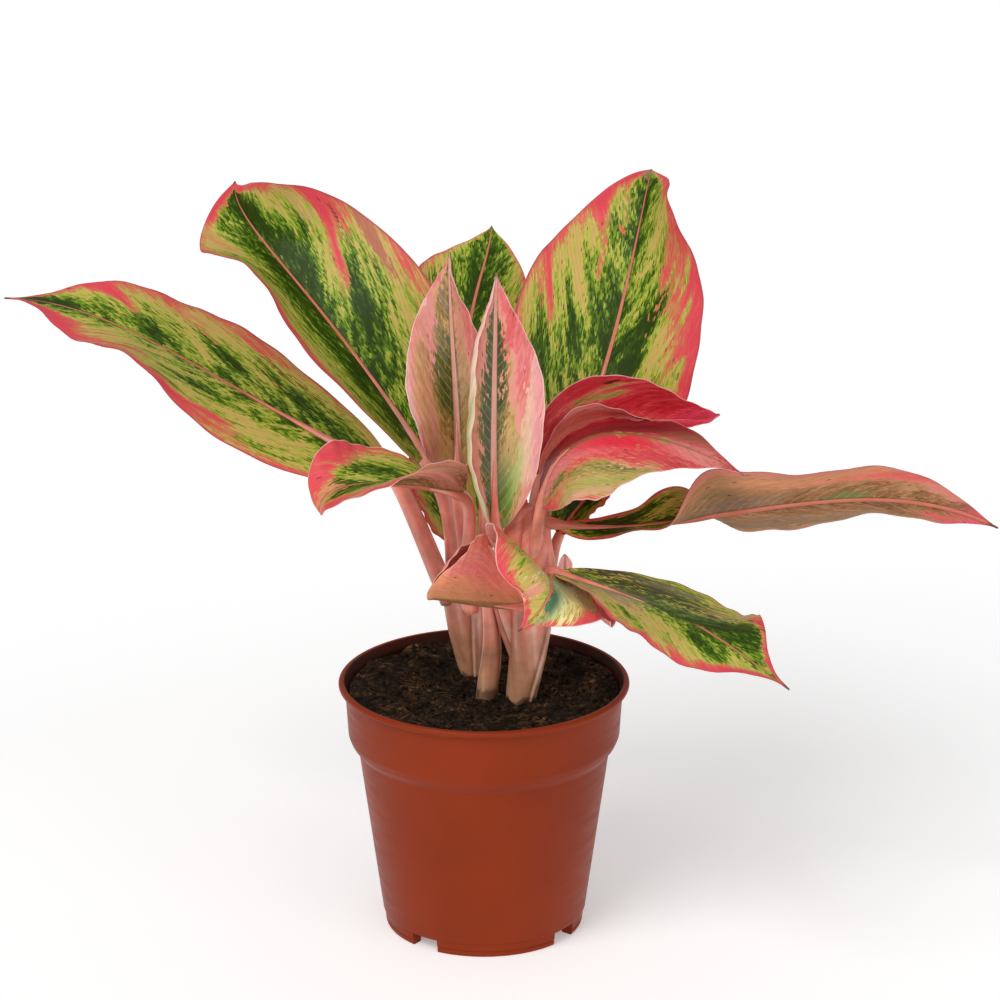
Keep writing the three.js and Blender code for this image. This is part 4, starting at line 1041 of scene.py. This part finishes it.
def damp_peat(colour):
    """Damp peat potting mix, loose and crumbly: almost black, matt, with browner crumbs and straw bits."""
    material, shader, add = new_material("damp_crumbled_peat")
    place = add("TexCoord", out="Object")
    # Crumbs of 1.6 mm, grit of 0.4 mm and patches of 11 mm.
    crumbs = add("TexVoronoi", {"Vector": place, "Scale": 620}, "Color")
    grit, broad = (add("TexNoise", {"Vector": place, "Scale": scale, "Detail": 3}) for scale in (2400, 90))
    tone = add("Math", (add("SeparateColor", (crumbs,)), 0.55, broad), operation="MULTIPLY_ADD")
    tone = add("Math", (grit, 0.5, tone), operation="MULTIPLY_ADD")
    peat = fill_ramp(add("ValToRGB", (add("MapRange", (tone, 0.6, 1.45)),)), (
        (0, "#120B05"), (0.45, "#20160D"), (0.72, "#382818"), (0.9, "#543C26"), (1, "#7A5C3C")))
    peat.node.color_ramp.elements[1].color = (*colour, 1)
    dry = add("Attribute", out="Fac", attribute_name="dry")
    straw = add("Math", (dry, add("MapRange", (broad, 0.4, 0.7, 0, 0.5))), operation="MULTIPLY")
    wire(shader, {
        "Base Color": add("Mix", (straw, peat, rgba("#8A6C48")), **RGB),
        "Roughness": add("MapRange", (grit, 0, 1, 0.75, 1)),
        "Normal": add("Bump", {"Strength": 0.8, "Distance": 0.0006, "Height": grit}),
        "Specular IOR Level": 0.15,
    })
    return material


def moulded_plastic(colour):
    """Polypropylene, injection moulded: a soft satin terracotta with a faint grain and light scuffs."""
    material, shader, add = new_material("moulded_polypropylene_terracotta")
    place = add("TexCoord", out="Object")
    # Tool grain of 0.7 mm, slow shade changes of 45 mm where the melt cooled unevenly, and scuffs 17 mm
    # long.
    grain = add("TexNoise", {"Vector": place, "Scale": 1400, "Detail": 3})
    cooled = add("TexNoise", {"Vector": place, "Scale": 22, "Detail": 2})
    scuff_at = add("Mapping", {"Vector": place, "Scale": (60, 60, 350)})
    scuff = add("TexNoise", {"Vector": scuff_at, "Scale": 1, "Detail": 4})
    base = add("Mix", (grain, (*[c * 0.94 for c in colour], 1), (*colour, 1)), **RGB)
    toned = add("HueSaturation", {"Value": add("MapRange", (cooled, 0.3, 0.7, 0.9, 1.08)), "Color": base})
    # Painted shade on the inside of the wall, above the mix, where the surface faces the axis: a near-black
    # film for the dark inside of the pot.
    flat = add("VectorMath", (place, (1, 1, 0)), operation="MULTIPLY")
    facing = add("VectorMath", (flat, add("NewGeometry", out="Normal")), operation="DOT_PRODUCT")
    inner_wall_shade = add("MapRange", (facing, -0.008, -0.03))
    for limit in (
        add("MapRange", (add("SeparateXYZ", (place,), "Z"), 0.09, 0.092)),
        add("MapRange", (scuff, 0.3, 0.7, 0.8, 0.97)),
    ):
        inner_wall_shade = add("Math", (inner_wall_shade, limit), operation="MULTIPLY")
    wire(shader, {
        "Base Color": add("Mix", (inner_wall_shade, toned, rgba("#22140D")), **RGB),
        "Roughness": add("MapRange", (scuff, 0.3, 0.75, 0.34, 0.5)),
        "Normal": add("Bump", {"Strength": 0.12, "Distance": 0.0002, "Height": grain}),
        "IOR": 1.49,  # polypropylene
        "Specular IOR Level": 0.12,
    })
    return material


def rounded_section(section, radius, steps=4):
    """A section with each of its inner corners rounded."""
    p = [np.array(q, float) for q in section]
    made = [p[0]]
    for a, b, c in zip(p, p[1:], p[2:]):
        near = min(radius, 0.4 * np.linalg.norm(b - a), 0.4 * np.linalg.norm(c - b))
        start, end = b + unit(a - b) * near, b + unit(c - b) * near
        for f in np.linspace(0, 1, steps + 1):
            made.append((1 - f) ** 2 * start + 2 * f * (1 - f) * b + f**2 * end)
    return made + [p[-1]]


def build_pot(sizes, material):
    """The nursery pot: a turned wall with a rolled lip and a collar, notched feet and drain holes."""
    section = rounded_section(POT_SECTION, POT_CORNER)
    turn = np.linspace(0, 2 * np.pi, sizes.segments, endpoint=False)
    ends = [[0, 0, section[0][1]], [0, 0, section[-1][1]]]
    points, faces = ringed_body(level_rings(section[1:-1], turn), ends)
    piece = make_piece("pot_shell", points, faces, [material], "pot")

    cutter = bmesh.new()
    for angle in map(math.radians, FOOT_NOTCHES):
        for v in bmesh.ops.create_cube(cutter, size=1)["verts"]:
            x, y = v.co.x * sizes.notch_width, v.co.y * NOTCH_REACH - FOOT_RADIUS
            z = v.co.z * (sizes.notch_height + 2) + sizes.notch_height / 2 - 1
            v.co = (x * math.cos(angle) - y * math.sin(angle), x * math.sin(angle) + y * math.cos(angle), z)
    ring, ways = sizes.drain_ring, map(math.radians, FOOT_NOTCHES)
    for x, y in [(0, 0)] + [(ring * math.sin(a), -ring * math.cos(a)) for a in ways]:
        for v in bmesh.ops.create_cone(cutter, cap_ends=True, segments=48, radius1=sizes.drain_radius,
                                       radius2=sizes.drain_radius, depth=DRAIN_DEPTH)["verts"]:
            v.co += Vector((x, y, FLOOR_HEIGHT))
    for v in cutter.verts:
        v.co *= MM
    cutting = bpy.data.meshes.new("foot_cuts")
    cutter.to_mesh(cutting)
    cutter.free()
    tool = bpy.data.objects.new("foot_cuts", cutting)
    bpy.context.scene.collection.objects.link(tool)
    cut = piece.modifiers.new("cuts", "BOOLEAN")
    cut.operation, cut.solver, cut.object = "DIFFERENCE", "EXACT", tool
    bpy.context.view_layer.update()
    done = bpy.data.meshes.new_from_object(piece.evaluated_get(bpy.context.evaluated_depsgraph_get()))
    piece.modifiers.clear()
    piece.data = done
    bpy.data.objects.remove(tool)
    done.polygons.foreach_set("use_smooth", np.ones(len(done.polygons), bool))
    done.set_sharp_from_angle(angle=math.radians(SHARP_ANGLE))
    done.update()


# ---------------------------------------- operators


class EVERGREEN_OT_pot(bpy.types.Operator):
    """Build the nursery pot"""

    bl_idname = "evergreen.pot"
    bl_label = "Pot"

    def execute(self, context):
        sizes = context.scene.evergreen_pot
        build_pot(sizes, moulded_plastic(tuple(sizes.plastic)))
        return {"FINISHED"}


class EVERGREEN_OT_soil(bpy.types.Operator):
    """Fill the pot with potting mix"""

    bl_idname = "evergreen.soil"
    bl_label = "Potting mix"

    def execute(self, context):
        sizes = context.scene.evergreen_soil
        build_soil(sizes, damp_peat(tuple(sizes.peat)))
        return {"FINISHED"}


class EVERGREEN_OT_canes(bpy.types.Operator):
    """Build the three sheathed canes"""

    bl_idname = "evergreen.canes"
    bl_label = "Canes"

    def execute(self, context):
        skin = stalk_skin("fleshy_cane_sheath", 0.118)
        for name, cane in CANES.items():
            build_cane(name, cane, skin)
        return {"FINISHED"}


class EVERGREEN_OT_leaves(bpy.types.Operator):
    """Build the fifteen leaves with their stalks, and the sheath tip"""

    bl_idname = "evergreen.leaves"
    bl_label = "Leaves"

    def execute(self, context):
        stalk = stalk_skin("fleshy_leaf_stalk", 0.112)
        for seed, (name, leaf) in enumerate(LEAVES.items()):
            skins = [leaf_skin(leaf, seed, False), leaf_skin(leaf, seed, True), stalk]
            build_leaf(name, leaf, skins, context.scene.evergreen_leaf, seed)
        return {"FINISHED"}


class EVERGREEN_OT_stage(bpy.types.Operator):
    """Set the floor, the soft lights and the camera"""

    bl_idname = "evergreen.stage"
    bl_label = "Stage"

    def execute(self, context):
        sizes = context.scene.evergreen_stage
        board = bpy.data.meshes.new("floor")
        corners = ((-1, -1), (1, -1), (1, 1), (-1, 1))
        board.from_pydata([(x * FLOOR_REACH, y * FLOOR_REACH, 0) for x, y in corners], [], [(0, 1, 2, 3)])
        floor = bpy.data.objects.new("floor", board)
        context.scene.collection.objects.link(floor)
        # Painted board, rolled: plain, pale and matt. It is a lit table, so that the floor stays pale.
        material, shader, add = new_material("rolled_white_board")
        stipple = add("TexNoise", {"Vector": add("TexCoord", out="Object"), "Scale": 300})
        colour = (*sizes.floor, 1), (*[c * 0.985 for c in sizes.floor], 1)
        wire(shader, {
            "Base Color": add("Mix", (stipple, *colour), **RGB), "Roughness": 0.9,
            "Emission Color": (1, 1, 1, 1), "Emission Strength": 0.28,
        })
        board.materials.append(material)

        world = bpy.data.worlds.new("studio")
        world.use_nodes = True
        wire(world.node_tree.nodes["Background"], {"Color": (1, 1, 1, 1), "Strength": sizes.room})
        context.scene.world = world
        context.scene.view_settings.view_transform = "Standard"
        for name, setting, soft, place in LIGHTS:
            light = bpy.data.lights.new(name, "SUN")
            light.energy, light.angle = getattr(sizes, setting), math.radians(soft)
            lamp = bpy.data.objects.new(name, light)
            context.scene.collection.objects.link(lamp)
            lamp.location = place
            lamp.rotation_mode = "QUATERNION"
            lamp.rotation_quaternion = (-Vector(place)).to_track_quat("-Z", "Y")

        camera_data = bpy.data.cameras.new("camera")
        camera_data.sensor_width, camera_data.lens = 36, CAMERA_LENS
        camera_data.clip_start, camera_data.clip_end = 0.05, 50
        camera = bpy.data.objects.new("camera", camera_data)
        context.scene.collection.objects.link(camera)
        pitch, (aim_x, aim_z) = math.radians(CAMERA_PITCH), CAMERA_AIM
        back, up = CAMERA_DISTANCE * math.cos(pitch), CAMERA_DISTANCE * math.sin(pitch)
        camera.location = (aim_x, -back, aim_z + up)
        camera.rotation_euler = (math.pi / 2 - pitch, 0, 0)
        context.scene.camera = camera
        return {"FINISHED"}


class EVERGREEN_PT_panel(bpy.types.Panel):
    """The sidebar panel that lists the pieces"""

    bl_label = "Potted Chinese evergreen"
    bl_idname = "EVERGREEN_PT_panel"
    bl_space_type = "VIEW_3D"
    bl_region_type = "UI"
    bl_category = "Evergreen"

    def draw(self, context):
        for operator in OPERATORS:
            self.layout.operator(operator.bl_idname)
        for group in SETTINGS:
            for key in SETTINGS[group].__annotations__:
                self.layout.prop(getattr(context.scene, group), key)


OPERATORS = (
    EVERGREEN_OT_pot, EVERGREEN_OT_soil, EVERGREEN_OT_canes, EVERGREEN_OT_leaves, EVERGREEN_OT_stage)
SETTINGS = {
    "evergreen_leaf": LeafSettings,
    "evergreen_pot": PotSettings,
    "evergreen_soil": SoilSettings,
    "evergreen_stage": StageSettings,
}


def register():
    for one in (*SETTINGS.values(), *OPERATORS, EVERGREEN_PT_panel):
        bpy.utils.register_class(one)
    for key, group in SETTINGS.items():
        setattr(bpy.types.Scene, key, PointerProperty(type=group))


def unregister():
    for key in SETTINGS:
        delattr(bpy.types.Scene, key)
    for one in (EVERGREEN_PT_panel, *reversed(OPERATORS), *reversed(SETTINGS.values())):
        bpy.utils.unregister_class(one)


def main():
    register()
    bpy.ops.evergreen.stage()
    bpy.ops.evergreen.pot()
    bpy.ops.evergreen.soil()
    bpy.ops.evergreen.canes()
    bpy.ops.evergreen.leaves()


if __name__ == "__main__":
    main()
